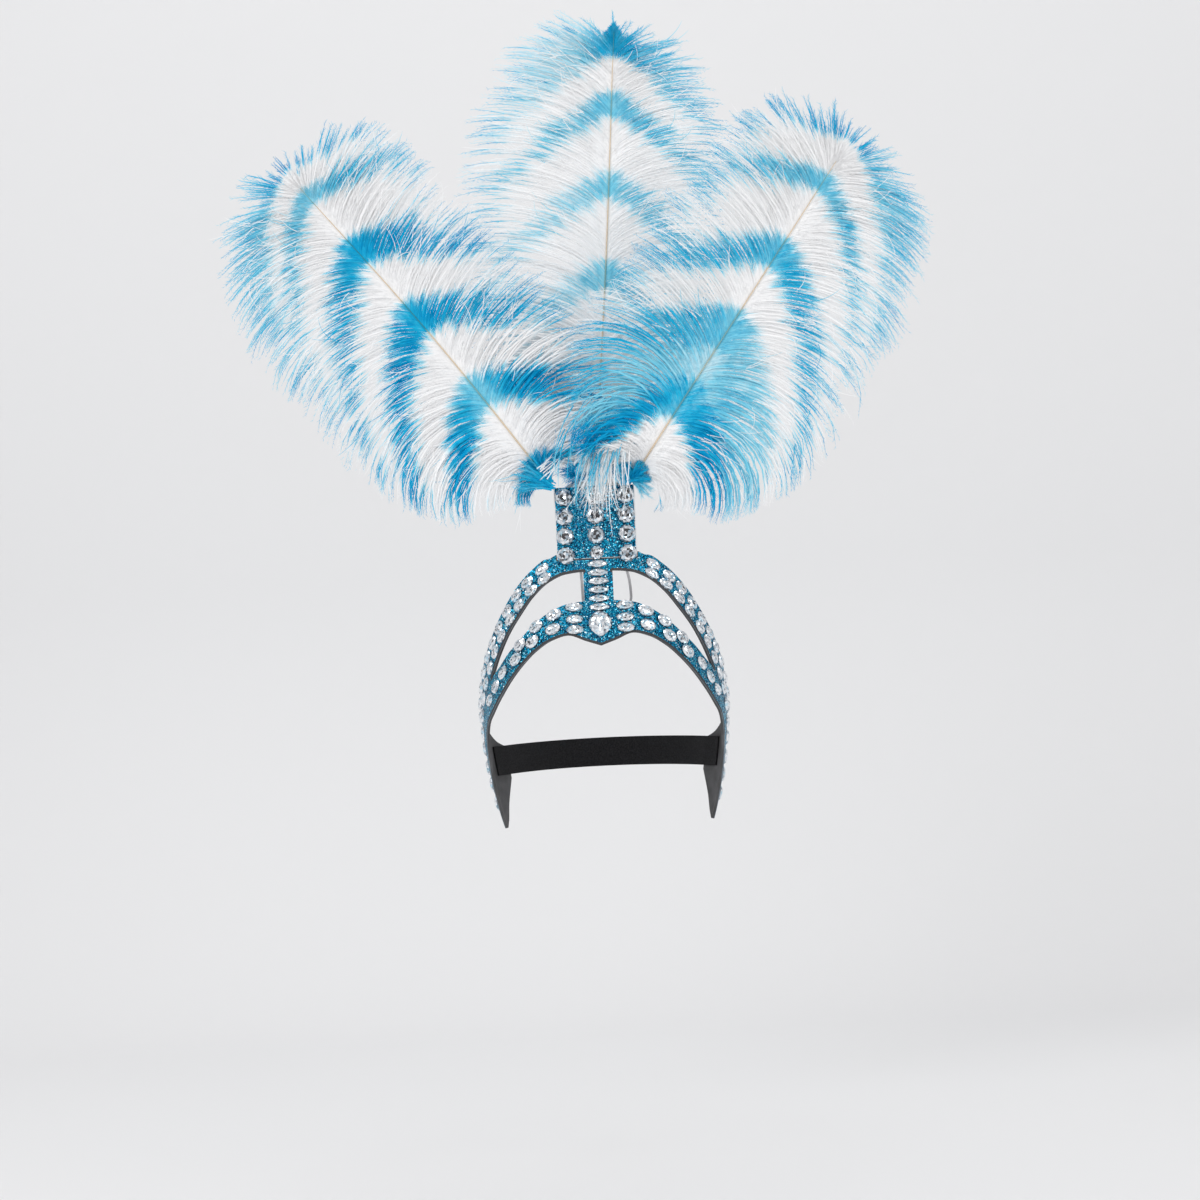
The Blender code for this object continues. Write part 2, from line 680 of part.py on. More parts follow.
def build_plume(plume, material):
    """One plume: the quill with its vane of locks, closed front and back."""
    front, back, keys = [], [], {}

    def put(key, point, half):
        keys[key] = len(front)
        front.append(point - Vector((0, half, 0)))
        back.append(point + Vector((0, half, 0)))

    stations = 2 * LOCKS_A_SIDE + 1
    quill_runs = [-QUILL_IN_PLATE * part for part in (1, 0.75, 0.5, 0.25, 0)]
    lean = radians(plume.lean)
    flank = Vector((cos(lean), 0, -sin(lean)))
    for i in range(len(quill_runs) + stations):
        share = 1 - (1 - max(i - len(quill_runs), 0) / (stations - 1)) ** LOCK_CROWDING
        run = quill_runs[i] if i < len(quill_runs) else VANE_START + share * (plume.length - VANE_START)
        radius = QUILL_RADIUS * (1 - (1 - QUILL_TIP_SHARE) * max(run, 0) / plume.length)
        middle = plume_root(plume, run)
        put((i, 0), middle, radius)
        for side in (-1, 1):
            put((i, side), middle + flank * radius * side, min(radius, VANE_THICKNESS) / 2)
        if i < len(quill_runs):
            continue
        ridge = (i - len(quill_runs)) % 2 == 0
        reach = RIDGE_REACH if ridge else VALLEY_REACH
        for side in (-1, 1):
            for column, part in enumerate(LOCK_COLUMNS):
                point = lock_point(plume, share, side, reach, part) + flank * radius * side
                point.y += (-1 if ridge else 1) * LOCK_DEPTH / 2 * min(part * 2, 1)
                put((i, side * (column + 2)), point, VANE_THICKNESS / 2 * (1 - LOCK_THINNING * part))

    faces = []
    width = len(LOCK_COLUMNS) + 1
    for i in range(len(quill_runs) + stations - 1):
        across = 1 if i < len(quill_runs) else width
        for column in range(-across, across):
            a, b = keys[i, column], keys[i, column + 1]
            c, d = keys[i + 1, column + 1], keys[i + 1, column]
            faces += [[a, b, c], [a, c, d]] if column < 0 else [[a, b, d], [b, c, d]]
    edges = {}
    for face in faces:
        for a, b in zip(face, face[1:] + face[:1]):
            edges[a, b] = True
    count = len(front)
    walls = []
    for a, b in edges:
        if (b, a) not in edges:
            walls += [[b, a, count + a], [b, count + a, count + b]]
    rear = [[count + v for v in reversed(face)] for face in faces]
    obj = add_mesh_object(plume.name, front + back, faces + rear + walls, material)
    smooth_rounds(obj, 50)
    return obj


def main():
    """Builds every piece of the headdress."""
    clear_scene()
    glitter = make_material("blue_glitter", (0.015, 0.24, 0.42), 0.45)
    plate = make_material("plate_glitter", (0.015, 0.24, 0.42), 0.45)
    white = make_material("backing_white", (0.82, 0.80, 0.76), 0.7)
    steel = make_material("wire_steel", (0.55, 0.55, 0.56), 0.3, 1.0)
    black = make_material("elastic_black", (0.012, 0.012, 0.014), 0.85)
    clear = make_material("clear_stone", (0.80, 0.84, 0.88), 0.08)
    build_crown(glitter, clear)
    build_plate(plate)
    build_backing(white)
    build_wire(steel)
    build_elastic(black)
    build_plate_stones(clear)
    build_strap_stones(clear)
    build_brow_stones(clear)
    for plume in PLUMES:
        feather = make_material(f"{plume.name}_down", (0.45, 0.78, 0.90), 0.9)
        build_plume(full_size(plume), feather)


main()
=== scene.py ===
"""Showgirl feather headdress: a glittering foam crown with stones, a crest plate and three plumes.

Sizes in the tables are millimetres and degrees, and meshes are metres. The origin is the centre of
the head opening at temple level, +Z is up, -Y is the front, and +X is the side that a viewer in
front sees on the right. Sheets and strands are worked out as whole arrays.
"""
import logging
from dataclasses import dataclass, field
from enum import Enum

import bpy
import numpy as np
from bpy.types import Material, Node, NodeSocket, NodeTree, Object
from mathutils import Matrix, Vector
from numpy import ndarray as Array
from numpy.random import Generator


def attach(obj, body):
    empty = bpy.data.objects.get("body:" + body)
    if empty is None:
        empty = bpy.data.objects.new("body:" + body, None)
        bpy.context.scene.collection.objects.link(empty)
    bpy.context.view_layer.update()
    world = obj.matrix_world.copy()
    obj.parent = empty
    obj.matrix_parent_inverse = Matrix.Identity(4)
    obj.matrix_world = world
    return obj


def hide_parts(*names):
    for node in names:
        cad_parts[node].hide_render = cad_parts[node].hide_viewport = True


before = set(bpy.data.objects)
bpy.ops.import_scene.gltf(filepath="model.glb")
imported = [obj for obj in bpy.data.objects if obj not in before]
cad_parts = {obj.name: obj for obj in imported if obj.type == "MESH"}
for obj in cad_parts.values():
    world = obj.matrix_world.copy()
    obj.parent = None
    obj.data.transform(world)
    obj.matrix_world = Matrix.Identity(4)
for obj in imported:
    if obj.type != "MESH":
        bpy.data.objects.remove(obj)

LOG = logging.getLogger("headdress")
MM = 0.001
FRONT = np.array([0.0, -1.0, 0.0])
TINY = 1e-12

# Named sizes of the crown and the plate, as in the fixed solids
CROWN_HALF_WIDTH = 105.0
CROWN_FRONT_DEPTH = 104.0
CROWN_LEAN = 12.0
CROWN_RISE = 111.0
FLAP_DEPTH = 67.0
FLAP_TUCK = 6.0
FLAP_TAPER = 16.0
FLAP_DROP = 114.0
REAR_ANGLE = 114.0
NOTCH_RISE = 4.5
NOTCH_STEP_ANGLE = 0.4
NOTCH_END_ANGLE = 23.0
STRAP_WIDTH = 24.0
WINDOW_END_ANGLE = 63.5
ELASTIC_DEPTH = 95.0
PLATE_WIDTH = 66.0
PLATE_HEIGHT = 59.0
PLATE_TOP = CROWN_RISE + PLATE_HEIGHT
BACKING_THICKNESS = 4.0
QUILL_RADIUS = 1.8
FOAM = 2.5
GAP = 0.3


class Side(Enum):
    """The two sides, as a viewer in front sees them."""

    LEFT = -1
    RIGHT = 1


def smooth_step(share: Array) -> Array:
    """A smooth step: 3 s^2 - 2 s^3, with s held between 0 and 1."""
    share = np.clip(share, 0.0, 1.0)
    return share * share * (3.0 - 2.0 * share)


def unit(values: Array) -> Array:
    """The vectors of the last axis, at length one."""
    return values / (np.linalg.norm(values, axis=-1, keepdims=True) + TINY)


def read_rows(values: Array, reading: Array) -> Array:
    """Reads each row between its steps.

    Args:
        values: Values by row and step, with any further axes.
        reading: Where to read in each row, counted in steps.

    Returns:
        The values there, by row and place.
    """
    low = np.clip(reading.astype(int), 0, values.shape[1] - 2)
    rows = np.arange(len(values))[:, None]
    between = (reading - low).reshape(reading.shape + (1,) * (values.ndim - 2))
    return values[rows, low] * (1 - between) + values[rows, low + 1] * between


def ring_quads(rings: int, corners: int) -> Array:
    """The four-cornered faces between rings of points, one row a face, for that many corners."""
    start, corner = np.arange(rings - 1)[:, None] * corners, np.arange(corners)
    after = (corner + 1) % corners
    return np.stack([start + corner, start + after, start + corners + after,
                     start + corners + corner], axis=-1).reshape(-1, 4)


def strand_frame(path: Array) -> tuple[Array, Array, Array]:
    """Unit vectors along each path, across it as seen from the front, and through it."""
    along = unit(np.gradient(path, axis=-2))
    flat = unit(np.cross(along, FRONT))
    return along, flat, np.cross(along, flat)


def tube(path: Array, flat: Array, thick: Array, radius: Array, sides: int
         ) -> tuple[Array, list[Array]]:
    """Carries a round section along a path, and closes both ends.

    Args:
        path: The points of the middle line.
        flat: Unit vectors across it.
        thick: Unit vectors across it and square to flat.
        radius: The radius at each point.
        sides: Corners of the section.

    Returns:
        The points, and the faces by corner count.
    """
    turn = (2 * np.pi * np.arange(sides) / sides)[:, None]
    ring = path[:, None] + radius[:, None, None] * (flat[:, None] * np.cos(turn)
                                                    + thick[:, None] * np.sin(turn))
    first = np.arange(sides)
    caps = np.array([first[::-1], (len(path) - 1) * sides + first])
    return ring.reshape(-1, 3), [ring_quads(len(path), sides), caps]


def add_piece(name: str, points: Array, faces: list[Array], finish: Material,
              stands_for: tuple[str, ...] = (), smooth: bool = True) -> Object:
    """Makes one mesh object from arrays, places it on the frame and gives it its finish.

    Args:
        name: The piece's name.
        points: Vertices, one row each.
        faces: Arrays of vertex numbers, one row a face, each array with its own corner count.
        finish: The material of the piece.
        stands_for: The fixed nodes that it replaces.
        smooth: Whether faces are shaded smoothly.

    Returns:
        The new object.
    """
    mesh = bpy.data.meshes.new(name)
    mesh.vertices.add(len(points))
    mesh.vertices.foreach_set("co", np.ascontiguousarray(points * MM, np.float32).ravel())
    corners = np.concatenate([group.ravel() for group in faces]).astype(np.int32)
    counts = np.concatenate([np.full(len(group), group.shape[1]) for group in faces])
    starts = np.concatenate([[0], np.cumsum(counts)[:-1]]).astype(np.int32)
    mesh.loops.add(len(corners))
    mesh.loops.foreach_set("vertex_index", corners)
    mesh.polygons.add(len(counts))
    mesh.polygons.foreach_set("loop_start", starts)
    mesh.polygons.foreach_set("use_smooth", np.full(len(counts), smooth))
    mesh.update(calc_edges=True)
    mesh.validate()
    mesh.materials.append(finish)
    piece = bpy.data.objects.new(name, mesh)
    bpy.context.scene.collection.objects.link(piece)
    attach(piece, "root")
    if stands_for:
        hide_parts(*stands_for)
    LOG.info("%s: %d points, %d faces", name, len(points), len(counts))
    return piece


def add_values(piece: Object, name: str, values: Array, domain: str = "POINT") -> None:
    """Keeps one number for each vertex, or each face, as a named attribute of the piece."""
    attribute = piece.data.attributes.new(name, "FLOAT", domain)
    attribute.data.foreach_set("value", np.ascontiguousarray(values, np.float32).ravel())


@dataclass
class Strands:
    """Points, faces and values of many closed strands, joined into one mesh."""

    points: list[Array] = field(default_factory=list)
    quads: list[Array] = field(default_factory=list)
    triangles: list[Array] = field(default_factory=list)
    dye: list[Array] = field(default_factory=list)
    tone: list[Array] = field(default_factory=list)
    count: int = 0

    def add_block(self, points: Array, triangles: Array, dye: Array, tone: Array) -> Array:
        """Adds strands that have the same number of points.

        Args:
            points: Points by strand and vertex.
            triangles: The triangles of one strand.
            dye: Dye value of each vertex.
            tone: One random tone a strand.

        Returns:
            The number of each strand's first vertex, ready to be added to a face table.
        """
        strands, size = points.shape[:2]
        first = self.count + np.arange(strands)[:, None, None] * size
        self.points.append(points.reshape(-1, 3))
        self.triangles.append((first + triangles).reshape(-1, 3))
        self.dye.append(dye.ravel())
        self.tone.append(np.repeat(tone, size))
        self.count += strands * size
        return first

    def add_blades(self, path: Array, flat: Array, thick: Array, width: Array, height: Array,
                   dye: Array, tone: Array) -> None:
        """Adds closed blades: a four-cornered section carried along each path to a point.

        Ring i of a blade is path_i + flat_i w_i, path_i + thick_i h_i, path_i - flat_i w_i and
        path_i - thick_i h_i. The last path point is the tip, and the first ring has an end face.

        Args:
            path: Blade, step and axis.
            flat: Unit vectors across the blade.
            thick: Unit vectors through the blade, flat x thick along the path.
            width: Half width for each blade and step.
            height: Half thickness for each blade and step.
            dye: Dye value for each blade and step.
            tone: One random tone a blade.
        """
        blades, rings = path.shape[0], path.shape[1] - 1
        middle = path[:, :rings]
        out = flat[:, :rings] * width[:, :rings, None]
        up = thick[:, :rings] * height[:, :rings, None]
        ring = np.stack([middle + out, middle + up, middle - out, middle - up], axis=2)
        points = np.concatenate([ring.reshape(blades, rings * 4, 3), path[:, -1:]], axis=1)
        last, tip = (rings - 1) * 4, rings * 4
        triangles = np.array([[last + k, last + (k + 1) % 4, tip] for k in range(4)])
        values = np.concatenate([np.repeat(dye[:, :rings], 4, axis=1), dye[:, -1:]], axis=1)
        first = self.add_block(points, triangles, values, tone)
        quads = np.concatenate([ring_quads(rings, 4), [[3, 2, 1, 0]]])
        self.quads.append((first + quads).reshape(-1, 4))

    def add_spikes(self, root: Array, way: Array, reach: Array, slant: Array, width: float,
                   dye: Array, tone: Array) -> None:
        """Adds closed three-sided spikes: a small triangle at the root, drawn out to the tip.

        Args:
            root: Middle of each root triangle, by barb and place.
            way: Each spike's direction.
            reach: Each spike's length.
            slant: A vector near the front, which the root triangle is turned by.
            width: Half width at the root.
            dye: Dye value of each spike.
            tone: One random tone a spike.
        """
        across = unit(np.cross(way, slant)).reshape(-1, 3)
        tip = (root + way * reach).reshape(-1, 3)
        root = root.reshape(-1, 3)
        third = np.cross(unit(tip - root), across)
        cosine, sine = 0.5, 0.87
        points = np.stack([root + across * width, root + (third * sine - across * cosine) * width,
                           root - (third * sine + across * cosine) * width, tip], axis=1)
        shape = np.array([[2, 1, 0], [0, 1, 3], [1, 2, 3], [2, 0, 3]])
        self.add_block(points, shape, np.repeat(dye.ravel(), 4), tone.ravel())

    def make(self, name: str, finish: Material, stands_for: tuple[str, ...] = ()) -> None:
        """Joins all the strands into one piece of that name and finish, which may replace nodes."""
        faces = [np.concatenate(self.triangles), np.concatenate(self.quads)]
        piece = add_piece(name, np.concatenate(self.points), faces, finish, stands_for,
                          smooth=False)
        add_values(piece, "dye", np.concatenate(self.dye))
        add_values(piece, "tone", np.concatenate(self.tone))


@dataclass(frozen=True)
class Stripe:
    """A dyed band: its start and end along the quill, and its dye left, at the quill and right."""

    start: float
    end: float
    left: float
    middle: float
    right: float


@dataclass(frozen=True)
class VaneSide:
    """One side of a vane.

    Its half width, how full its foot is, its barbs' droop, its bands' sag, how far its low barbs
    hang, how far its shoulder stands out, how far its top bands fan up, and how far its low bands
    are carried down with the hanging barbs.
    """

    width: float
    fill: float
    droop: float
    sag: float
    hang: float = 0.0
    shoulder: float = 0.0
    fan: float = 0.0
    drag: float = 0.0


@dataclass
class Barbs:
    """One side's barbs as arrays by barb and step: places on the vane, points, directions, the
    unevenness of the bands, the dye of the tips, and one random tone a barb."""

    forward: Array
    across: Array
    path: Array
    along: Array
    shift: Array
    tipped: Array
    tone: Array


# By the root's share of the quill: a barb's length as a share of the half width, its share of the
# droop, and the angle that a lock bends round to
BARB_ROOTS = np.array([0.00, 0.07, 0.20, 0.36, 0.56, 0.76, 0.86, 0.92, 0.97, 1.00])
BARB_LENGTHS = np.array([0.10, 0.26, 0.60, 0.84, 0.98, 1.02, 0.92, 0.72, 0.50, 0.29])
BARB_DROOPS = np.array([1.00, 1.00, 1.00, 1.00, 1.00, 1.00, 0.88, 0.66, 0.36, 0.03])
LOCK_ANGLES = np.array([112, 122, 127, 127, 127, 126, 108, 82, 50, 16])


@dataclass(frozen=True)
class Plume:
    """One ostrich plume: a quill and two sides of barbs, each barb dressed with fine barbules.

    A place on the vane is given by `forward`, the run along the quill from the plate's top edge,
    and `across`, the distance from the quill towards +X.
    """

    name: str
    foot: float
    lean: float
    bow: float
    length: float
    layer: float
    quill_reach: float
    left: VaneSide
    right: VaneSide
    stripes: tuple[Stripe, ...]
    seed: int
    quill_shown: float = 1.0
    quill_in_plate: float = 40.0
    quill_steps: int = 70
    quill_sides: int = 10
    vane_start: float = 6.0
    vane_middle: float = 0.55
    lock_start: float = 14.0
    lock_chance: float = 0.26
    lock_pull: float = 0.30
    tip_curl: float = 28.0
    tip_curl_power: float = 2.2
    edge_curl: float = 8.0
    layer_run: float = 45.0
    stripe_slope: float = 0.75
    stripe_round: float = 8.0
    stripe_soft: float = 2.5
    sag_reach: float = 82.0
    sag_power: float = 3.5
    arm_start: float = 34.0
    fan_start: float = 215.0
    fan_run: float = 60.0
    fan_reach: float = 70.0
    drag_start: float = 30.0
    drag_run: float = 70.0
    drag_reach: float = 50.0
    barbs: int = 520
    barb_steps: int = 10
    barb_samples: int = 64
    barb_width: float = 0.58
    shortest: float = 48.0
    leave_angle: float = 34.0
    open_angle: float = 66.0
    open_run: float = 0.13
    tip_angle: float = 16.5
    shoulder_angle: float = 27.0
    shoulder_spread: float = 16.0
    droop_power: float = 1.6
    hang_power: float = 0.85
    full_hang: float = 72.0
    wave: float = 9.0
    barbules: int = 46
    barbule_length: float = 10.0
    barbule_width: float = 0.17
    dyed_tips: float = 0.30
    tip_dye: float = 0.72
    wisps: int = 210
    wisp_steps: int = 7
    wisp_width: float = 0.30

    def by_side(self, across: Array, size: str) -> Array:
        """A size of the left or of the right side, by the side that each place is on."""
        return np.where(across < 0, getattr(self.left, size), getattr(self.right, size))

    def depth(self, run: Array) -> Array:
        """Y of the quill: behind the plate at its foot, easing to the plume's own layer, and
        curling to the front by tip_curl s^power towards the tip."""
        seat = FOAM + GAP + QUILL_RADIUS
        front = CROWN_FRONT_DEPTH - CROWN_LEAN - seat
        turn = np.arcsin(abs(self.foot) * PLATE_WIDTH / 2 / (CROWN_HALF_WIDTH - seat))
        parting = smooth_step(run / self.layer_run)
        y = -front * np.cos(turn) * (1 - parting) + (self.layer - front) * parting
        return y - self.tip_curl * np.clip(run / self.length, 0, 1.1) ** self.tip_curl_power

    def surface(self, forward: Array, across: Array, lift: Array | float = 0.0) -> Array:
        """Points of the vane: the plume's plane turned by its lean, dished to the front.

        The depth is that of the quill at forward + slope |across|, less edge_curl times the square
        of the share of the half width.

        Args:
            forward: Run along the quill.
            across: Distance from it towards +X.
            lift: Distance in front of the surface.

        Returns:
            The points, with a last axis of three.
        """
        lean = np.radians(self.lean)
        bowed = across + self.bow * np.sin(np.pi * np.clip(forward / self.length, 0, 1))
        x = self.foot * PLATE_WIDTH / 2 + forward * np.sin(lean) + bowed * np.cos(lean)
        z = PLATE_TOP + forward * np.cos(lean) - bowed * np.sin(lean)
        run = np.minimum(forward + self.stripe_slope * np.abs(across), self.length)
        y = self.depth(run) - self.edge_curl * (across / self.by_side(across, "width")) ** 2 - lift
        return np.stack([x, y, z], axis=-1)

    def outline(self, part: VaneSide) -> tuple[Array, Array]:
        """The vane's outline on one side, as a radius for each angle about its middle.

        Locks leave the quill at 42 degrees and bend to their own angle by 1 - exp(-u / 0.1); the
        outline joins their tips.

        Args:
            part: The side of the vane.

        Returns:
            Angles from the tip direction, rising, and the radius at each.
        """
        locks, steps, leave, bend_run, overhang = 120, 24, 42, 0.10, 1.05
        share = np.linspace(0, 1, locks)
        length = np.interp(part.fill + share * (1 - part.fill), BARB_ROOTS, BARB_LENGTHS)
        length = length * part.width * overhang
        final = np.interp(share, BARB_ROOTS, LOCK_ANGLES)
        start = np.minimum(leave, final)
        u = (np.arange(steps) + 0.5) / steps
        angle = np.radians(start[:, None] + (final - start)[:, None] * (1 - np.exp(-u / bend_run)))
        root = self.lock_start + share * (self.length - self.lock_start)
        forward = root + np.cos(angle).mean(axis=1) * length - self.vane_middle * self.length
        across = np.sin(angle).mean(axis=1) * length
        turn = np.degrees(np.arctan2(across, forward))
        order = np.argsort(turn)
        return turn[order], np.hypot(across, forward)[order]

    def dye_at(self, forward: Array, across: Array, shift: Array) -> Array:
        """Dye from the chevron bands: each is a range of forward + g(|across|) + shift.

        g(a) = slope (sqrt(a^2 + r^2) - r) + sag (a / 82)^3.5, so an arm leaves the quill with a
        rounded corner, runs back at a steady angle and hangs down further out. Near the tip the
        bands fan up, and near the foot they are dragged down, each by its own smooth step.

        Args:
            forward: Run along the quill.
            across: Distance from it towards +X.
            shift: Unevenness of the strand's own bands.

        Returns:
            Dye from 0, white, to 1, darkest.
        """
        away = np.abs(across)
        sagging = np.clip(away / self.sag_reach, 0, 1.4) ** self.sag_power
        band = forward + shift + self.by_side(across, "sag") * sagging
        band = band + self.stripe_slope * (np.hypot(away, self.stripe_round) - self.stripe_round)
        near_tip = smooth_step((forward - self.fan_start) / self.fan_run)
        near_foot = 1 - smooth_step((forward - self.drag_start) / self.drag_run)
        band = band - self.by_side(across, "fan") * smooth_step(away / self.fan_reach) * near_tip
        band = band + self.by_side(across, "drag") * smooth_step(away / self.drag_reach) * near_foot
        soft = self.stripe_soft * (1 + 2 * away / self.by_side(across, "width"))
        on_arm = smooth_step(away / self.arm_start)
        dye = np.zeros_like(band)
        for stripe in self.stripes:
            edge = np.where(across < 0, stripe.left, stripe.right)
            inside = (smooth_step((band - stripe.start) / soft + 0.5)
                      * smooth_step((stripe.end - band) / soft + 0.5))
            dye = np.maximum(dye, inside * (stripe.middle + (edge - stripe.middle) * on_arm))
        return dye

    @staticmethod
    def low_share(share: Array) -> Array:
        """How low on the quill a barb's root is: 1 at the foot, falling to 0."""
        return 1 - smooth_step((share - 0.08) / 0.30)

    def barb_angles(self, part: VaneSide, share: Array, wander: Array, stray: Array, rng: Generator
                    ) -> Array:
        """Every barb's angle from the quill's direction, in degrees, along its run.

        A barb leaves the quill at a small angle, opens by 1 - exp(-u / 0.13), droops to its end
        angle by a power of u, and sways by a slow wave. Low barbs hang and droop sooner.

        Args:
            part: The side of the vane.
            share: Each barb's root along the quill.
            wander: One random value a lock, for each barb.
            stray: One random value a barb.
            rng: Seeded randomness.

        Returns:
            Angles by barb and sample.
        """
        low = self.low_share(share)
        final = np.interp(share, BARB_ROOTS, BARB_DROOPS) * part.droop + 4.0 * wander + 4.5 * stray
        final = final + part.hang * low * (1 + 0.20 * wander + 0.13 * stray)
        off_tip = self.tip_angle * np.clip((1 - share) / 0.10, 0, 1)
        opened = np.minimum(self.open_angle, off_tip + 0.75 * (final - part.hang * low))
        opened = opened + 2.0 * stray
        start = np.minimum(self.leave_angle, opened)
        hanging = low * min(part.hang / self.full_hang, 1.0)
        power = self.droop_power - (self.droop_power - self.hang_power) * hanging
        u = (np.arange(self.barb_samples) + 0.5) / self.barb_samples
        angle = (start[:, None] + (opened - start)[:, None] * (1 - np.exp(-u / self.open_run))
                 + (final - opened)[:, None] * u ** power[:, None])
        column = (self.barbs, 1)
        turns = rng.uniform(0.8, 1.7, column) * u + rng.random(column)
        return angle + self.wave * u * rng.normal(0, 1, column) * np.sin(2 * np.pi * turns)

    def barb_paths(self, side: Side, rng: Generator) -> tuple[Array, Array, Array, Array]:
        """Every barb of one side, in the vane's own two directions.

        A barb follows its angles and ends where it meets the outline. Neighbours gather in locks
        whose tips draw together.

        Args:
            side: Which side.
            rng: Seeded randomness.

        Returns:
            forward and across for each barb and step, each barb's lock, and share along the quill.
        """
        part = self.left if side is Side.LEFT else self.right
        share = np.sort((np.arange(self.barbs) + rng.uniform(-0.4, 0.4, self.barbs)) / self.barbs)
        share = np.clip(share, 0, 1)
        share = 1 - (1 - share + 0.30 * np.sin(2 * np.pi * share) / (2 * np.pi)) ** 1.12
        lock = np.cumsum(rng.random(self.barbs) < self.lock_chance)
        wander = rng.normal(0, 1, lock.max() + 1)[lock]
        stray = rng.normal(0, 1, self.barbs)
        low = self.low_share(share)
        length = np.interp(part.fill + share * (1 - part.fill), BARB_ROOTS, BARB_LENGTHS)
        foot = 0.42 + 0.30 * min(part.hang / 60.0, 1.0)
        length = np.maximum(length * part.width * 1.25, self.shortest)
        length = length * (foot + (1 - foot) * smooth_step(share / 0.13))
        length = length * (1 - 0.30 * min(part.hang / 76.0, 1.0) * low)
        angle = np.radians(self.barb_angles(part, share, wander, stray, rng))
        samples = self.barb_samples
        step = length[:, None] / samples
        root = self.vane_start + share * (self.length * self.quill_reach - self.vane_start)
        root = root[:, None]
        forward = np.concatenate([root, root + np.cumsum(np.cos(angle) * step, axis=1)], axis=1)
        across = np.concatenate([0 * root, np.cumsum(np.sin(angle) * step, axis=1)], axis=1)
        middle = self.vane_middle * self.length
        turn = np.degrees(np.arctan2(across, forward - middle))
        filled = np.hypot(across, forward - middle) / np.interp(turn, *self.outline(part))
        rough = rng.normal(0, 1, lock.max() + 1)[lock]
        limit = np.clip(0.95 + 0.035 * rough + 0.05 * rng.normal(0, 1, self.barbs), 0.82, 1.05)
        limit = limit + 0.15 * min(part.hang / 20.0, 1.0) * low
        hill = np.exp(-((turn - self.shoulder_angle) / self.shoulder_spread) ** 2)
        over = filled > limit[:, None] + part.shoulder * hill
        over[:, : samples // 6] = False
        ends = np.where(over.any(axis=1), over.argmax(axis=1), samples)
        u = np.linspace(0, 1, self.barb_steps)[None, :]
        reading = u ** 1.15 * ends[:, None]
        forward, across = read_rows(forward, reading), read_rows(across, reading)
        counts = np.bincount(lock).astype(float)
        for values in (forward, across):
            mean = np.stack([np.bincount(lock, column) / counts for column in values.T], axis=1)
            values += self.lock_pull * u ** 1.4 * (mean[lock] - values)
        return forward, across * side.value, lock, share

    def build_side(self, side: Side, finish: Material) -> None:
        """Builds the barbs, barbules and wisps of one side as one piece, for the fixed plume.

        A barb lifts off the vane with its lock and by itself, more so further out.

        Args:
            side: Which side.
            finish: The feather's material.
        """
        rng = np.random.default_rng(self.seed * 2 + (side is Side.RIGHT))
        part = self.left if side is Side.LEFT else self.right
        forward, across, lock, share = self.barb_paths(side, rng)
        share, away, column = share[:, None], np.abs(across), (self.barbs, 1)
        u = np.linspace(0, 1, self.barb_steps)[None, :]
        lock_lift = rng.uniform(-1, 1, lock.max() + 1)[lock][:, None]
        own_lift = rng.uniform(-1, 1, self.barbs)[:, None]
        lift = -0.9 + (1.7 * lock_lift + 1.5 * own_lift) * np.clip(away / 40, 0, 1)
        lift = lift + 3.0 * own_lift * u ** 2 + 0.16 * part.hang * self.low_share(share) * u ** 1.5
        path = self.surface(forward, across, lift)
        along, flat, thick = strand_frame(path)
        roll = rng.uniform(-0.6, 0.6, (self.barbs, 1, 1))
        flat, thick = (flat * np.cos(roll) + thick * np.sin(roll),
                       thick * np.cos(roll) - flat * np.sin(roll))
        width = self.barb_width * (1 - 0.80 * u ** 1.7) * rng.uniform(0.75, 1.3, column)
        width = width * (1 + 0.5 * (1 - smooth_step((share - 0.15) / 0.25)))
        shift = (rng.normal(0, 1, lock.max() + 1)[lock][:, None] * 4.5 * away / part.width
                 + rng.normal(0, 1, column) * (0.7 + 8.5 * away / part.width))
        tipped = np.where(rng.random(column) < self.dyed_tips, self.tip_dye, 0.0)
        tipped = tipped * smooth_step((u - 0.74) / 0.16) * smooth_step(share / 0.2)
        dye = np.maximum(self.dye_at(forward, across, shift), tipped)
        barbs = Barbs(forward, across, path, along, shift, tipped, rng.random(self.barbs))
        strands = Strands()
        strands.add_blades(path, flat, thick, width, 0.3 * width + 0.03, dye, barbs.tone)
        self.add_barbules(strands, barbs, rng)
        self.add_wisps(strands, barbs, rng)
        strands.make(f"{self.name}_{side.name.lower()}_barbs", finish, (self.name,))

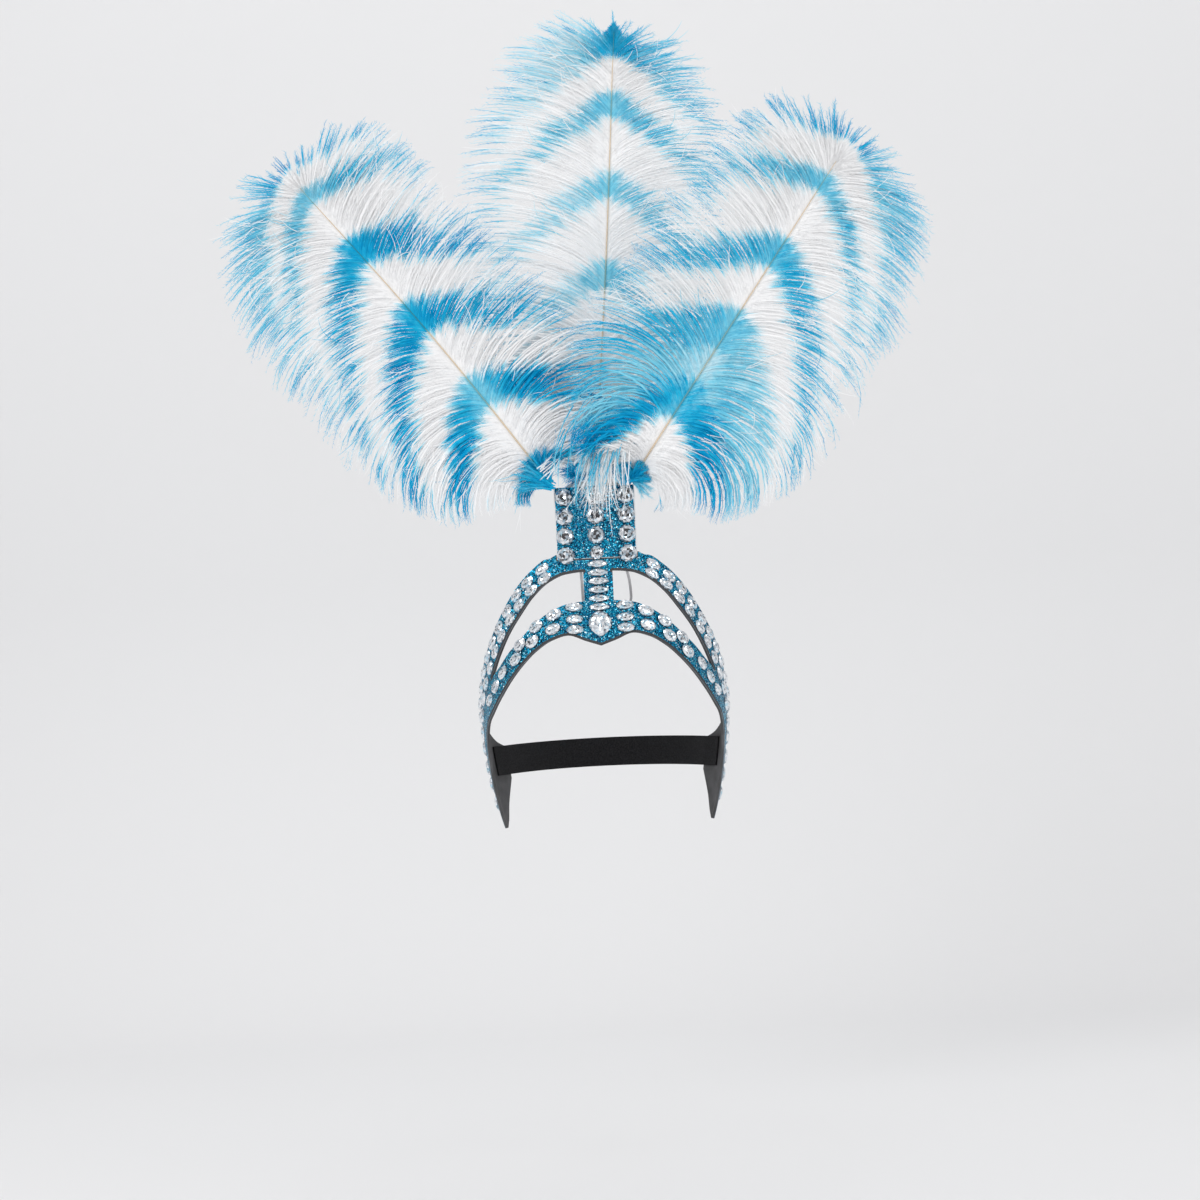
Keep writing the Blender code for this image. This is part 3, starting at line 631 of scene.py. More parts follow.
    def add_barbules(self, strands: Strands, barbs: Barbs, rng: Generator) -> None:
        """Adds the fine hairs on both flanks of each barb, shorter towards its tip.

        Args:
            strands: The side's strands.
            barbs: The side's barbs.
            rng: Seeded randomness.
        """
        count = self.barbules
        each = (self.barbs, count, 1)
        place = (np.arange(count)[None, :] + rng.random((self.barbs, count))) / count
        place = 0.015 + 0.975 * place
        reading = place * (self.barb_steps - 1)
        root, ahead, forward, across, shift, tipped = (read_rows(values, reading) for values in (
            barbs.path, barbs.along, barbs.forward, barbs.across, barbs.shift, barbs.tipped))
        outward = unit(np.cross(ahead, FRONT))
        flank = np.where(rng.random(each) < 0.5, -1.0, 1.0)
        spread = np.radians(rng.uniform(12, 46, each))
        rise = rng.normal(0, 0.30, each) + 0.08
        way = unit(ahead * np.cos(spread) + outward * flank * np.sin(spread) + FRONT * rise)
        reach = self.barbule_length * rng.uniform(0.55, 1.25, each)
        reach = reach * (1 - 0.68 * place[..., None] ** 1.5) * np.clip(
            0.45 + np.abs(across[..., None]) / 26, 0, 1)
        uneven = shift + rng.normal(0, 1.0, (self.barbs, count))
        dye = np.maximum(self.dye_at(forward, across, uneven), tipped)
        tone = np.clip(barbs.tone[:, None] + rng.normal(0, 0.2, (self.barbs, count)), 0, 1)
        strands.add_spikes(root, way, reach, FRONT + 0.01 * ahead, self.barbule_width, dye, tone)

    def add_wisps(self, strands: Strands, barbs: Barbs, rng: Generator) -> None:
        """Adds loose hairs that stray from the barbs' course, a few millimetres in front.

        Each heading starts at its barb's own course and turns steadily by a random angle.

        Args:
            strands: The side's strands.
            barbs: The side's barbs.
            rng: Seeded randomness.
        """
        count, forward, across = self.wisps, barbs.forward, barbs.across
        barb = rng.integers(0, int(0.86 * self.barbs), count)
        step = rng.integers(3, self.barb_steps - 2, count)
        u = np.linspace(0, 1, self.wisp_steps)[None, :]
        course = np.arctan2(across[barb, step + 1] - across[barb, step - 1],
                            forward[barb, step + 1] - forward[barb, step - 1])
        heading = course[:, None] + np.radians(rng.normal(0, 24, (count, 1))) * (0.5 + 1.2 * u)
        pace = rng.uniform(14, 34, (count, 1)) / self.wisp_steps
        run = forward[barb, step][:, None] + np.cumsum(np.cos(heading) * pace, axis=1)
        away = across[barb, step][:, None] + np.cumsum(np.sin(heading) * pace, axis=1)
        path = self.surface(run, away, 1.0 + 3.0 * u * rng.uniform(0.3, 1.0, (count, 1)))
        _, flat, thick = strand_frame(path)
        width = np.repeat(self.wisp_width * (1 - 0.7 * u), count, axis=0)
        dye = self.dye_at(forward[barb, step], across[barb, step], np.zeros(count))[:, None]
        dye = dye * np.where(rng.random((count, 1)) < 0.55, 0.0, 1.0) * (1 - 0.3 * u)
        strands.add_blades(path, flat, thick, width, width * 0.6, dye, rng.random(count))

    def build_quill(self, finish: Material) -> None:
        """The quill: a round section that tapers to the tip, carried along the vane's middle."""
        reach, none = self.length * self.quill_reach, np.zeros(self.quill_steps)
        run = np.linspace(-self.quill_in_plate, reach, self.quill_steps)
        middle = self.surface(run, none, 0.4 * smooth_step(run / 20.0))
        slim = 0.62 + 0.38 * smooth_step(-run / 12.0)
        taper = (1 - np.clip(run / reach, 0, 1)) ** 0.7
        radius = self.quill_shown * slim * taper * 0.80 + 0.25
        radius = np.where(run < -4.0, QUILL_RADIUS, radius)
        _, flat, thick = strand_frame(middle)
        points, faces = tube(middle, flat, thick, radius, self.quill_sides)
        piece = add_piece(f"{self.name}_quill", points, faces, finish)
        add_values(piece, "dye", np.repeat(self.dye_at(run, none, none), self.quill_sides))
        add_values(piece, "run", np.repeat(run, self.quill_sides))

    def build(self, vane: Material, quill: Material) -> None:
        """Builds both sides and the quill."""
        for side in Side:
            self.build_side(side, vane)
        self.build_quill(quill)


# Crown edges by angle: heights as shares of CROWN_RISE above the temples and FLAP_DROP below
STATION_ANGLES = np.array([0, 7, 15, 23, 31, 39, 47, 55, 63.5, 70, 76, 82, 87, 92, 98, 106, 114])
BROW_EDGE = np.array([0.356, 0.395, 0.440, 0.407, 0.335, 0.234, 0.119, -0.004, -0.123, -0.202,
                      -0.350, -0.630, -0.877, -1.000, -0.956, -0.800, -0.640])
WINDOW_FOOT = np.array([0.690, 0.685, 0.669, 0.618, 0.536, 0.431, 0.329, 0.216, 0.126, 0.063,
                        -0.044, -0.237, -0.386, -0.526, -0.579, -0.570, -0.520])
WINDOW_HEAD = np.concatenate([[0.905, 0.904, 0.891, 0.840, 0.743, 0.607, 0.466, 0.302],
                              WINDOW_FOOT[8:]])
CROWN_EDGE = np.array([1.000, 1.000, 1.000, 1.010, 0.937, 0.829, 0.694, 0.545, 0.387, 0.270,
                       0.135, 0.000, -0.105, -0.190, -0.280, -0.360, -0.400])

# Depths at which a sheet's edge has a line, as shares: with the glitter film, and plain
FILM_LAYERS = (0.0, 0.16, 1.0)
PLAIN_LAYERS = (0.0, 0.5, 1.0)
SHEET_CREASE = 40.0
BAND_CREASE = 50.0


def monotone(keys: Array, values: Array, at: Array) -> Array:
    """A smooth curve through a table with no overshoot.

    Cubic Hermite pieces whose slope at a key is the harmonic mean of its two chords, or 0 where
    the chords turn.

    Args:
        keys: Rising places.
        values: The value at each.
        at: Where to read.

    Returns:
        The values there, held at both ends.
    """
    chord = np.diff(values) / np.diff(keys)
    product = chord[:-1] * chord[1:]
    total = np.where(product > 0, chord[:-1] + chord[1:], 1.0)
    inner = np.where(product > 0, 2 * product / total, 0.0)
    slope = np.concatenate([[chord[0]], inner, [chord[-1]]])
    at = np.clip(at, keys[0], keys[-1])
    index = np.clip(np.searchsorted(keys, at, side="right") - 1, 0, len(keys) - 2)
    step = keys[index + 1] - keys[index]
    u = (at - keys[index]) / step
    return (values[index] * (1 + 2 * u) * (1 - u) ** 2 + slope[index] * step * u * (1 - u) ** 2
            + values[index + 1] * u * u * (3 - 2 * u) - slope[index + 1] * step * u * u * (1 - u))


def level(share: Array | float) -> Array:
    """A height from its share of the crown's rise, or of the flap's drop below the temples."""
    return share * np.where(np.asarray(share) > 0, CROWN_RISE, FLAP_DROP)


def angle_at(x: float) -> float:
    """The angle at which the crown's front face is that far from the centre."""
    return float(np.degrees(np.arcsin(x / CROWN_HALF_WIDTH)))


def wrap(angle: Array | float, height: Array | float) -> Array:
    """The crown's outer face: an ellipse in plan, leaning back as it rises, tapering as it drops.

    x = w sin(angle) and y = -d cos(angle), where w falls by the taper and the tuck behind the
    ears, and d is the leaning front depth, or the flap's depth growing to the elastic's.

    Args:
        angle: Degrees round the head from the front, positive towards +X.
        height: Height over the temples.

    Returns:
        The points, with a last axis of three.
    """
    angle, height = np.broadcast_arrays(np.asarray(angle, float), np.asarray(height, float))
    away = np.maximum(np.abs(angle) - 90, 0)
    tuck = FLAP_TUCK * smooth_step(away / (REAR_ANGLE - 90))
    half_width = CROWN_HALF_WIDTH - FLAP_TAPER * (np.minimum(height, 0) / FLAP_DROP) ** 2 - tuck
    growth = np.sin(np.pi / 2 * np.maximum(np.abs(angle) - REAR_ANGLE, 0) / (180 - REAR_ANGLE))
    rear = FLAP_DEPTH + (ELASTIC_DEPTH - FLAP_DEPTH) * growth
    front = CROWN_FRONT_DEPTH - CROWN_LEAN * np.clip(height / CROWN_RISE, 0, 1)
    turn = np.radians(angle)
    depth = np.where(away > 0, rear, front)
    return np.stack([half_width * np.sin(turn), -depth * np.cos(turn), height], axis=-1)


def wrap_frame(angle: Array | float, height: Array | float) -> tuple[Array, Array, Array]:
    """Outward normal, direction round the head and direction up, from small steps both ways."""
    step = 0.2
    round_head = wrap(angle + step, height) - wrap(angle - step, height)
    up = wrap(angle, height + step) - wrap(angle, height - step)
    normal, round_head = unit(np.cross(round_head, up)), unit(round_head)
    return normal, round_head, np.cross(normal, round_head)


def closed_sheet(outer: Array, inward: Array, layers: tuple[float, ...],
                 cells: Array | None = None, names: Array | None = None
                 ) -> tuple[Array, Array, Array]:
    """Thickens a grid into a closed sheet: the outer face, the back and walls along every edge.

    Args:
        outer: Points of the outer face, by column and row.
        inward: The way through the sheet at each point, as long as it is thick.
        layers: Depths at which the walls have a line, from 0 to 1.
        cells: Which cells are filled, all of them if it is left out.
        names: The vertex number of each grid point, where some points are one.

    Returns:
        The points, the four-cornered faces, and each face's kind: 0 the outer face, 1 the first
        strip of wall, 2 the other walls and 3 the back.
    """
    total = outer.shape[0] * outer.shape[1]
    if names is None:
        names = np.arange(total).reshape(outer.shape[:2])
    quads = np.stack([names[:-1, :-1], names[1:, :-1], names[1:, 1:], names[:-1, 1:]], axis=-1)
    quads = quads.reshape(-1, 4) if cells is None else quads[cells]
    edges = np.concatenate([quads[:, [k, (k + 1) % 4]] for k in range(4)])
    keys, turned = edges[:, 0] * total + edges[:, 1], edges[:, 1] * total + edges[:, 0]
    start, end = edges[~np.isin(keys, turned)].T
    base, way = outer.reshape(-1, 3), inward.reshape(-1, 3)
    points = np.concatenate([base + way * depth for depth in layers])
    faces, kinds = [quads], [np.zeros(len(quads), int)]
    for k in range(len(layers) - 1):
        near, far = k * total, (k + 1) * total
        faces.append(np.stack([end + near, start + near, start + far, end + far], axis=1))
        kinds.append(np.full(len(start), min(k + 1, 2)))
    faces.append(quads[:, ::-1] + (len(layers) - 1) * total)
    kinds.append(np.full(len(quads), 3))
    used, faces = np.unique(np.concatenate(faces), return_inverse=True)
    return points[used], faces.reshape(-1, 4), np.concatenate(kinds)


def crease(piece: Object, angle: float) -> None:
    """Keeps every edge sharper than that angle, in degrees, as a crease."""
    piece.data.set_sharp_from_angle(angle=np.radians(angle))


def set_kinds(piece: Object, finishes: tuple[Material, ...], kinds: Array, smooth: Array) -> None:
    """Gives each face one of several finishes, and says which faces are smooth.

    Args:
        piece: The piece, whose first finish is there already.
        finishes: The finishes after the first.
        kinds: The finish's number for each face.
        smooth: Whether each face is smooth.
    """
    for finish in finishes:
        piece.data.materials.append(finish)
    piece.data.polygons.foreach_set("material_index", kinds.astype(np.int32))
    piece.data.polygons.foreach_set("use_smooth", smooth)
    crease(piece, SHEET_CREASE)


def edge_distance(points: Array, edges: list[Array]) -> Array:
    """How far each point is from the nearest of several edge lines.

    On each straight piece of a line the nearest place is at t = (p - a).(b - a) / |b - a|^2, held
    between 0 and 1.

    Args:
        points: The points, one row each.
        edges: Edge lines, each an array of points in order.

    Returns:
        One distance a point.
    """
    nearest = np.full(len(points), np.inf)
    for edge in edges:
        for start, end in zip(edge[:-1], edge[1:]):
            run = end - start
            t = np.clip((points - start) @ run / (run @ run + TINY), 0.0, 1.0)
            gap = np.linalg.norm(points - start - t[:, None] * run, axis=1)
            nearest = np.minimum(nearest, gap)
    return nearest


@dataclass
class FoamCrown:
    """Brow band, centre strap, arch and both flaps: one cut foam sheet with glitter on its face."""

    column_step: float = 1.25
    column_clearance: float = 0.3
    band_rows: int = 6
    joint_inset: float = 0.9
    touch: float = 0.01

    def build(self, glitter: Material, film: Material, foam: Material) -> None:
        """Builds the sheet: rows run between the edge curves of the tables at every column.

        Args:
            glitter: The outer face.
            film: The cut edge of the glitter film.
            foam: The foam's own edge and back.
        """
        strap, notch = angle_at(STRAP_WIDTH / 2), angle_at(PLATE_WIDTH / 2 + GAP)
        exact = [strap, notch, notch + NOTCH_STEP_ANGLE, NOTCH_END_ANGLE, WINDOW_END_ANGLE]
        even = np.arange(0, REAR_ANGLE + 0.1, self.column_step)
        nearest = np.min(np.abs(even[:, None] - np.array(exact)), axis=1)
        half = np.unique(np.concatenate([even[nearest > self.column_clearance], exact,
                                         [REAR_ANGLE]]))
        angles = np.concatenate([-half[:0:-1], half])
        away = np.abs(angles)
        foot, head, arch, crest = (level(monotone(STATION_ANGLES, column, away)) for column in (
            BROW_EDGE, WINDOW_FOOT, WINDOW_HEAD, CROWN_EDGE))
        shut = away > WINDOW_END_ANGLE - self.touch
        arch = np.where(shut, head, arch)
        fall = (NOTCH_END_ANGLE - away) / (NOTCH_END_ANGLE - notch)
        beside = (away > notch) & (away < NOTCH_END_ANGLE)
        crest = np.where(beside, np.maximum(crest, CROWN_RISE + NOTCH_RISE * fall), crest)
        under = away <= notch + self.touch
        crest = np.where(under, CROWN_RISE, crest)
        rows, bands = self.band_rows, ((foot, head), (head, arch), (arch, crest))
        share = np.arange(rows) / rows
        heights = np.concatenate([low[:, None] + (high - low)[:, None] * share
                                  for low, high in bands] + [crest[:, None]], axis=1)
        grid_angles = np.broadcast_to(angles[:, None], heights.shape)
        normal, _, _ = wrap_frame(grid_angles, heights)
        names = np.arange(heights.size).reshape(heights.shape)
        names[shut, rows + 1:2 * rows + 1] = names[shut, rows][:, None]
        cells = np.ones((len(angles) - 1, heights.shape[1] - 1), bool)
        cells[np.abs(angles[1:] + angles[:-1]) / 2 > strap, rows:2 * rows] = False
        points, faces, kinds = closed_sheet(wrap(grid_angles, heights), -normal * FOAM, FILM_LAYERS,
                                            cells, names)
        piece = add_piece("crown_foam", points, [faces], glitter, ("crown_frame",))
        set_kinds(piece, (film, foam), np.array([0, 1, 2, 2])[kinds], kinds != 1)
        window = (away > strap - self.touch) & (away < WINDOW_END_ANGLE)
        edges = [wrap(angles, foot)] + [wrap(angles[part], arch[part]) for part in (
            window & (angles < 0), window & (angles > 0))]
        # Painted shade: the charcoal rim also runs along the crown's top edge under the plate, 0.9
        # mm narrower, for the shadow in the fold at the joint; elsewhere the rim is the foam's own
        # edge.
        joint = edge_distance(points, [wrap(angles[under], crest[under])]) + self.joint_inset
        add_values(piece, "rim", np.minimum(edge_distance(points, edges), joint))


@dataclass
class CrestPlate:
    """The upright plate on the crown's top edge: glitter on its face, white edges and back."""

    columns: int = 40
    rows: int = 30
    rim_steps: int = 20
    # Height of the foot edge that is painted charcoal as painted shade in the fold
    painted_shade_height: float = 1.0

    def build(self, glitter: Material, white: Material, charcoal: Material) -> None:
        """Builds the plate on the crown's surface carried on upwards; its foot edge is painted
        charcoal as painted shade.

        Args:
            glitter: The outer face.
            white: The edges and the back.
            charcoal: The foot edge, painted as painted shade in the fold at the joint.
        """
        side, foot = angle_at(PLATE_WIDTH / 2), CROWN_RISE + GAP
        angle, height = np.meshgrid(np.linspace(-side, side, self.columns + 1),
                                    np.linspace(foot, PLATE_TOP, self.rows + 1), indexing="ij")
        normal, _, _ = wrap_frame(angle, height)
        points, faces, kinds = closed_sheet(wrap(angle, height), -normal * FOAM, FILM_LAYERS)
        piece = add_piece("crest_plate_foam", points, [faces], glitter,
                          ("crest_plate",))
        # Painted shade: the foot edge's walls are painted charcoal for the shadow in the fold at
        # the joint with the crown.
        painted_dark = (points[faces, 2].max(axis=1) < foot + self.painted_shade_height) & (kinds > 0)
        set_kinds(piece, (white, charcoal), np.where(painted_dark, 2, np.minimum(kinds, 1)), kinds != 1)
        ends = np.linspace(foot, PLATE_TOP, self.rim_steps)
        add_values(piece, "rim", edge_distance(points, [wrap(at, ends) for at in (-side, side)]))


@dataclass
class Backing:
    """The ribbed white backing behind the quills, whose two humps show over the plate."""

    width: float = 0.85 * PLATE_WIDTH
    hump: float = 6.0
    rib_pitch: float = 2.4
    rib_depth: float = 0.22
    columns: int = 120
    rows: int = 16

    def build(self, finish: Material) -> None:
        """Builds the sheet behind the plate: its top is raised by hump sin^2(pi |s|), and ribs
        rib_depth cos^2 run down it."""
        share = np.linspace(-1, 1, self.columns + 1)
        foot = CROWN_RISE + 2 * GAP
        top = PLATE_TOP - GAP + self.hump * np.sin(np.pi * np.abs(share)) ** 2
        height = foot + (top - foot)[:, None] * np.linspace(0, 1, self.rows + 1)
        angle = np.broadcast_to((share * angle_at(self.width / 2))[:, None], height.shape)
        normal, _, _ = wrap_frame(angle, height)
        rib = self.rib_depth * np.cos(np.pi * share * self.width / 2 / self.rib_pitch) ** 2
        rib = rib[:, None, None]
        outer = wrap(angle, height) - normal * (FOAM + 2 * GAP + 2 * QUILL_RADIUS + rib)
        points, faces, _ = closed_sheet(outer, -normal * (BACKING_THICKNESS - 2 * rib),
                                        PLAIN_LAYERS)
        piece = add_piece("ribbed_backing", points, [faces], finish,
                          ("feather_backing",))
        crease(piece, SHEET_CREASE)


@dataclass
class Elastic:
    """The black elastic, glued inside both flaps and carried round the back of the head."""

    width: float = 25.0
    thickness: float = 1.5
    height: float = -57.0
    glue_angle: float = 99.0
    cords: int = 15
    cord_depth: float = 0.16
    columns: int = 110
    rows: int = 18
    back_limit: float = 179.7

    def build(self, finish: Material) -> None:
        """Builds the band: cords run along it, so its faces rise and fall by cord_depth cos^2."""
        turn, across = np.meshgrid(
            np.linspace(self.glue_angle, 360 - self.glue_angle, self.columns + 1),
            np.linspace(-0.5, 0.5, self.rows + 1), indexing="ij")
        height = self.height + self.width * across
        angle = np.where(turn > 180, turn - 360, turn)
        normal, _, _ = wrap_frame(np.clip(angle, -self.back_limit, self.back_limit), height)
        cord = self.cord_depth * (1 - np.cos(np.pi * self.cords * (across + 0.5)) ** 2)[..., None]
        points, faces, _ = closed_sheet(wrap(angle, height) - normal * (FOAM + GAP + cord),
                                        -normal * (self.thickness - 2 * cord), PLAIN_LAYERS)
        piece = add_piece("elastic_webbing", points, [faces], finish,
                          ("elastic_band",))
        add_values(piece, "along", np.unwrap(np.arctan2(points[:, 0], -points[:, 1])))
        crease(piece, BAND_CREASE)


@dataclass
class SteelWire:
    """The hairpin of steel wire: two legs behind the backing, over the head to a round bend."""

    radius: float = 1.2
    left: float = -14.0
    right: float = 24.0
    spread: float = 5.0
    reach: float = 76.0
    corner: float = 5.0
    high_end: float = 0.85
    low_end: float = 0.10
    legs: tuple[tuple[float, float], ...] = ((0.09, 0.07), (0.29, 0.13), (0.53, 0.17), (0.81, 0.30))
    bend: tuple[tuple[float, float], ...] = ((0.93, 0.38), (1.00, 0.43))
    steps: int = 220
    sides: int = 14

    def start_depth(self, x: float) -> float:
        """Y of a leg behind the plate."""
        back = FOAM + 3 * GAP + 2 * QUILL_RADIUS + BACKING_THICKNESS + self.radius
        turn = np.arcsin(min(abs(x), PLATE_WIDTH / 2) / (CROWN_HALF_WIDTH - back))
        return -(CROWN_FRONT_DEPTH - CROWN_LEAN - back) * np.cos(turn)

    def step_point(self, x: float, step: tuple[float, float]) -> list[float]:
        """A point of the course over the head, from shares of the reach and of the fall."""
        start = self.start_depth(x)
        return [x, start + step[0] * (self.reach - start), CROWN_RISE * (1 - step[1])]

    def leg(self, x: float, out: float) -> list[list[float]]:
        """The points of one leg, moving out as it goes back."""
        heights = CROWN_RISE + PLATE_HEIGHT * np.linspace(self.high_end, self.low_end, 3)
        return ([[x, self.start_depth(x), height] for height in heights]
                + [self.step_point(x + out * k / len(self.legs), step)
                   for k, step in enumerate(self.legs)])

    def build(self, finish: Material) -> None:
        """Carries a round section along a smooth curve through the points."""
        middle = (self.left + self.right + self.spread) / 2
        bend = [self.step_point(self.right + self.spread - self.corner, self.bend[0]),
                self.step_point(middle, self.bend[1]),
                self.step_point(self.left + self.corner, self.bend[0])]
        route = np.array(self.leg(self.right, self.spread) + bend + self.leg(self.left, 0)[::-1])
        run = np.concatenate([[0], np.cumsum(np.linalg.norm(np.diff(route, axis=0), axis=1))])
        even = np.linspace(0, run[-1], self.steps)
        path = np.stack([monotone(run, route[:, k], even) for k in range(3)], axis=1)
        along = unit(np.gradient(path, axis=0))
        flat = np.zeros_like(along)
        flat[0] = np.cross(along[0], -FRONT)
        for k in range(1, self.steps):
            flat[k] = unit(flat[k - 1] - along[k] * (flat[k - 1] @ along[k]))
        points, faces = tube(path, flat, np.cross(along, flat), np.full(self.steps, self.radius),
                             self.sides)
        piece = add_piece("steel_hairpin", points, faces, finish, ("support_wire",))
        add_values(piece, "run", np.repeat(even, self.sides))
        crease(piece, BAND_CREASE)


class Outline(Enum):
    """The outline of a stone."""

    OVAL = "oval"
    PEAR = "pear"


@dataclass(frozen=True)
class StoneCut:
    """One cut of foiled stone: a ring of girdle facets, two rings of crown facets and a star.

    Each ring is the outline scaled about the middle, at its share of the height, turned by half a
    facet from the ring below. The star's points rise and fall, as the foil under a clear stone
    does, and every facet is tipped a little by its own corners.
    """

    length: float
    width: float
    height: float
    sides: int
    star: int
    outline: Outline = Outline.OVAL
    # Share of facets painted dark, as painted reflections of dark surroundings in the stone
    painted_dark: float = 0.15
    pear_point: float = 0.42
    girdle: float = 0.35

    def ring(self, count: int, scale: float, turn: float) -> Array:
        """Points of the outline, scaled, the first one turned by a share of a facet.

        An oval is (l/2 cos, w/2 sin). A pear is narrowed below its middle by point sin^2.

        Args:
            count: How many points.
            scale: Size against the outline.
            turn: Share of a facet.

        Returns:
            The points, two columns.
        """
        angle = 2 * np.pi * (np.arange(count) + turn) / count
        narrow = 1.0
        if self.outline is Outline.PEAR:
            angle = angle + np.pi / 2
            narrow = 1.0 - self.pear_point * np.minimum(np.sin(angle), 0.0) ** 2
        return np.stack([self.length / 2 * np.cos(angle) * narrow, self.width / 2 * np.sin(angle)],
                        axis=1) * scale

    def solid(self, rng: Generator) -> tuple[Array, Array, Array]:
        """Points, triangles and each triangle's brightness.

        Args:
            rng: Seeded randomness, for the tip of each facet.

        Returns:
            The points, the triangles, and each triangle's painted reflection, up to 1 for a painted
            white glint.
        """
        n, s = self.sides, self.star
        levels = ((1.0, 0.0, 0.0), (1.0, 0.0, self.girdle), (0.80, 0.5, 0.80), (0.56, 0.0, 1.0))
        rings = [np.column_stack([self.ring(n, scale, turn), np.full(n, rise * self.height)])
                 for scale, turn, rise in levels]
        star = np.column_stack([self.ring(s, 0.36, 0.25),
                                self.height * (0.97 + 0.07 * (np.arange(s) % 2))])
        middle = np.array([[0.0, 0.0, self.height * 0.93]])
        for ring, amount in ((rings[2], 0.035), (rings[3], 0.03), (star, 0.03)):
            ring[:, 2] += rng.normal(0, amount, len(ring)) * self.height
        k, j = np.arange(n), np.arange(s)
        after = (k + 1) % n
        table = ((0 * k, after, k), (k, after, n + after), (k, n + after, n + k),
                 (n + k, n + after, 2 * n + k), (n + after, 2 * n + after, 2 * n + k),
                 (2 * n + k, 3 * n + after, 3 * n + k),
                 (2 * n + k, 2 * n + after, 3 * n + after),
                 (4 * n + j, 4 * n + (j + 1) % s, np.full(s, 4 * n + s)))
        base, *walls, fan = (np.stack(corners, axis=1) for corners in table)
        inner = self.bridge(3 * n, n, 4 * n, s)
        # Painted reflections and shade: each facet gets a set brightness. Dark facets are painted
        # reflections of dark surroundings, white ones are painted glints, and the girdle's 0.30 is
        # painted shadow round the stone's edge.
        few, some, many = self.painted_dark * 0.6, self.painted_dark, min(self.painted_dark * 1.6, 0.6)
        painted_reflection = np.concatenate([
            np.full(3 * n - 2, 0.30), rng.choice([0.45, 0.8, 1.0], 2 * n, p=[0.3, 0.35, 0.35]),
            rng.choice([0.25, 0.7, 1.0], 2 * n, p=[few, 0.35, 0.65 - few]),
            rng.choice([0.06, 0.5, 1.0], len(inner), p=[some, 0.40, 0.60 - some]),
            rng.choice([0.05, 0.55, 1.0], s, p=[many, 0.2, 0.8 - many])])
        return (np.concatenate([*rings, star, middle]),
                np.concatenate([base[1:-1], *walls, inner, fan]), painted_reflection)

    @staticmethod
    def bridge(first: int, count: int, second: int, inner: int) -> Array:
        """Triangles between two rings with different numbers of points.

        Args:
            first: Number of the outer ring's first point.
            count: Points of the outer ring.
            second: Number of the inner ring's first point.
            inner: Points of the inner ring.

        Returns:
            The triangles, one row each.
        """
        outer_at, inner_at, made = 0, 0, []
        while outer_at < count or inner_at < inner:
            if inner_at >= inner or (outer_at < count and outer_at / count <= inner_at / inner):
                made.append([first + outer_at, first + (outer_at + 1) % count,
                             second + inner_at % inner])
                outer_at += 1
            else:
                made.append([first + outer_at % count, second + (inner_at + 1) % inner,
                             second + inner_at])
                inner_at += 1
        return np.array(made)


ROUND_CUT = StoneCut(14.8, 14.8, 4.2, 10, 6, painted_dark=0.44)
SMALL_ROUND_CUT = StoneCut(11.6, 11.6, 3.6, 10, 6, painted_dark=0.40)
STRAP_CUT = StoneCut(16.4, 6.5, 3.0, 14, 7, painted_dark=0.07)
BESIDE_CUT = StoneCut(14.6, 7.8, 3.0, 14, 7, painted_dark=0.07)
PAIR_CUT = StoneCut(14.2, 9.2, 3.2, 14, 7, painted_dark=0.08)
ROW_CUT = StoneCut(14.0, 8.0, 3.0, 12, 6, painted_dark=0.08)
PEAR_CUT = StoneCut(19.0, 20.5, 4.6, 18, 10, Outline.PEAR, painted_dark=0.08)

# Places of stones: angles in degrees, and heights as shares, like the crown's edges
BESIDE_HEIGHTS = (0.645, 0.558, 0.482)
PAIR_PLACES = ((21.0, 0.595), (21.8, 0.492), (30.2, 0.515), (32.4, 0.405), (39.4, 0.385),
               (42.2, 0.280))
PEAR_HEIGHT = 0.515
BROW_LINE = ((52.0, 0.185), (62.0, 0.020), (71.0, -0.100))
INNER_LINE = ((24.5, 0.875), (33, 0.775), (39, 0.685), (47, 0.545), (55, 0.392), (62, 0.243),
              (68, 0.108), (74, -0.030), (79, -0.165), (84, -0.320), (88, -0.480),
              (90.5, -0.640), (92, -0.810))
OUTER_LINE = ((22.5, 0.975), (31, 0.883), (39, 0.779), (47, 0.640), (55, 0.491), (63.5, 0.333),
              (70, 0.207), (76, 0.080), (82, -0.050), (88, -0.170), (94, -0.290), (99, -0.420),
              (101, -0.560), (101, -0.700))


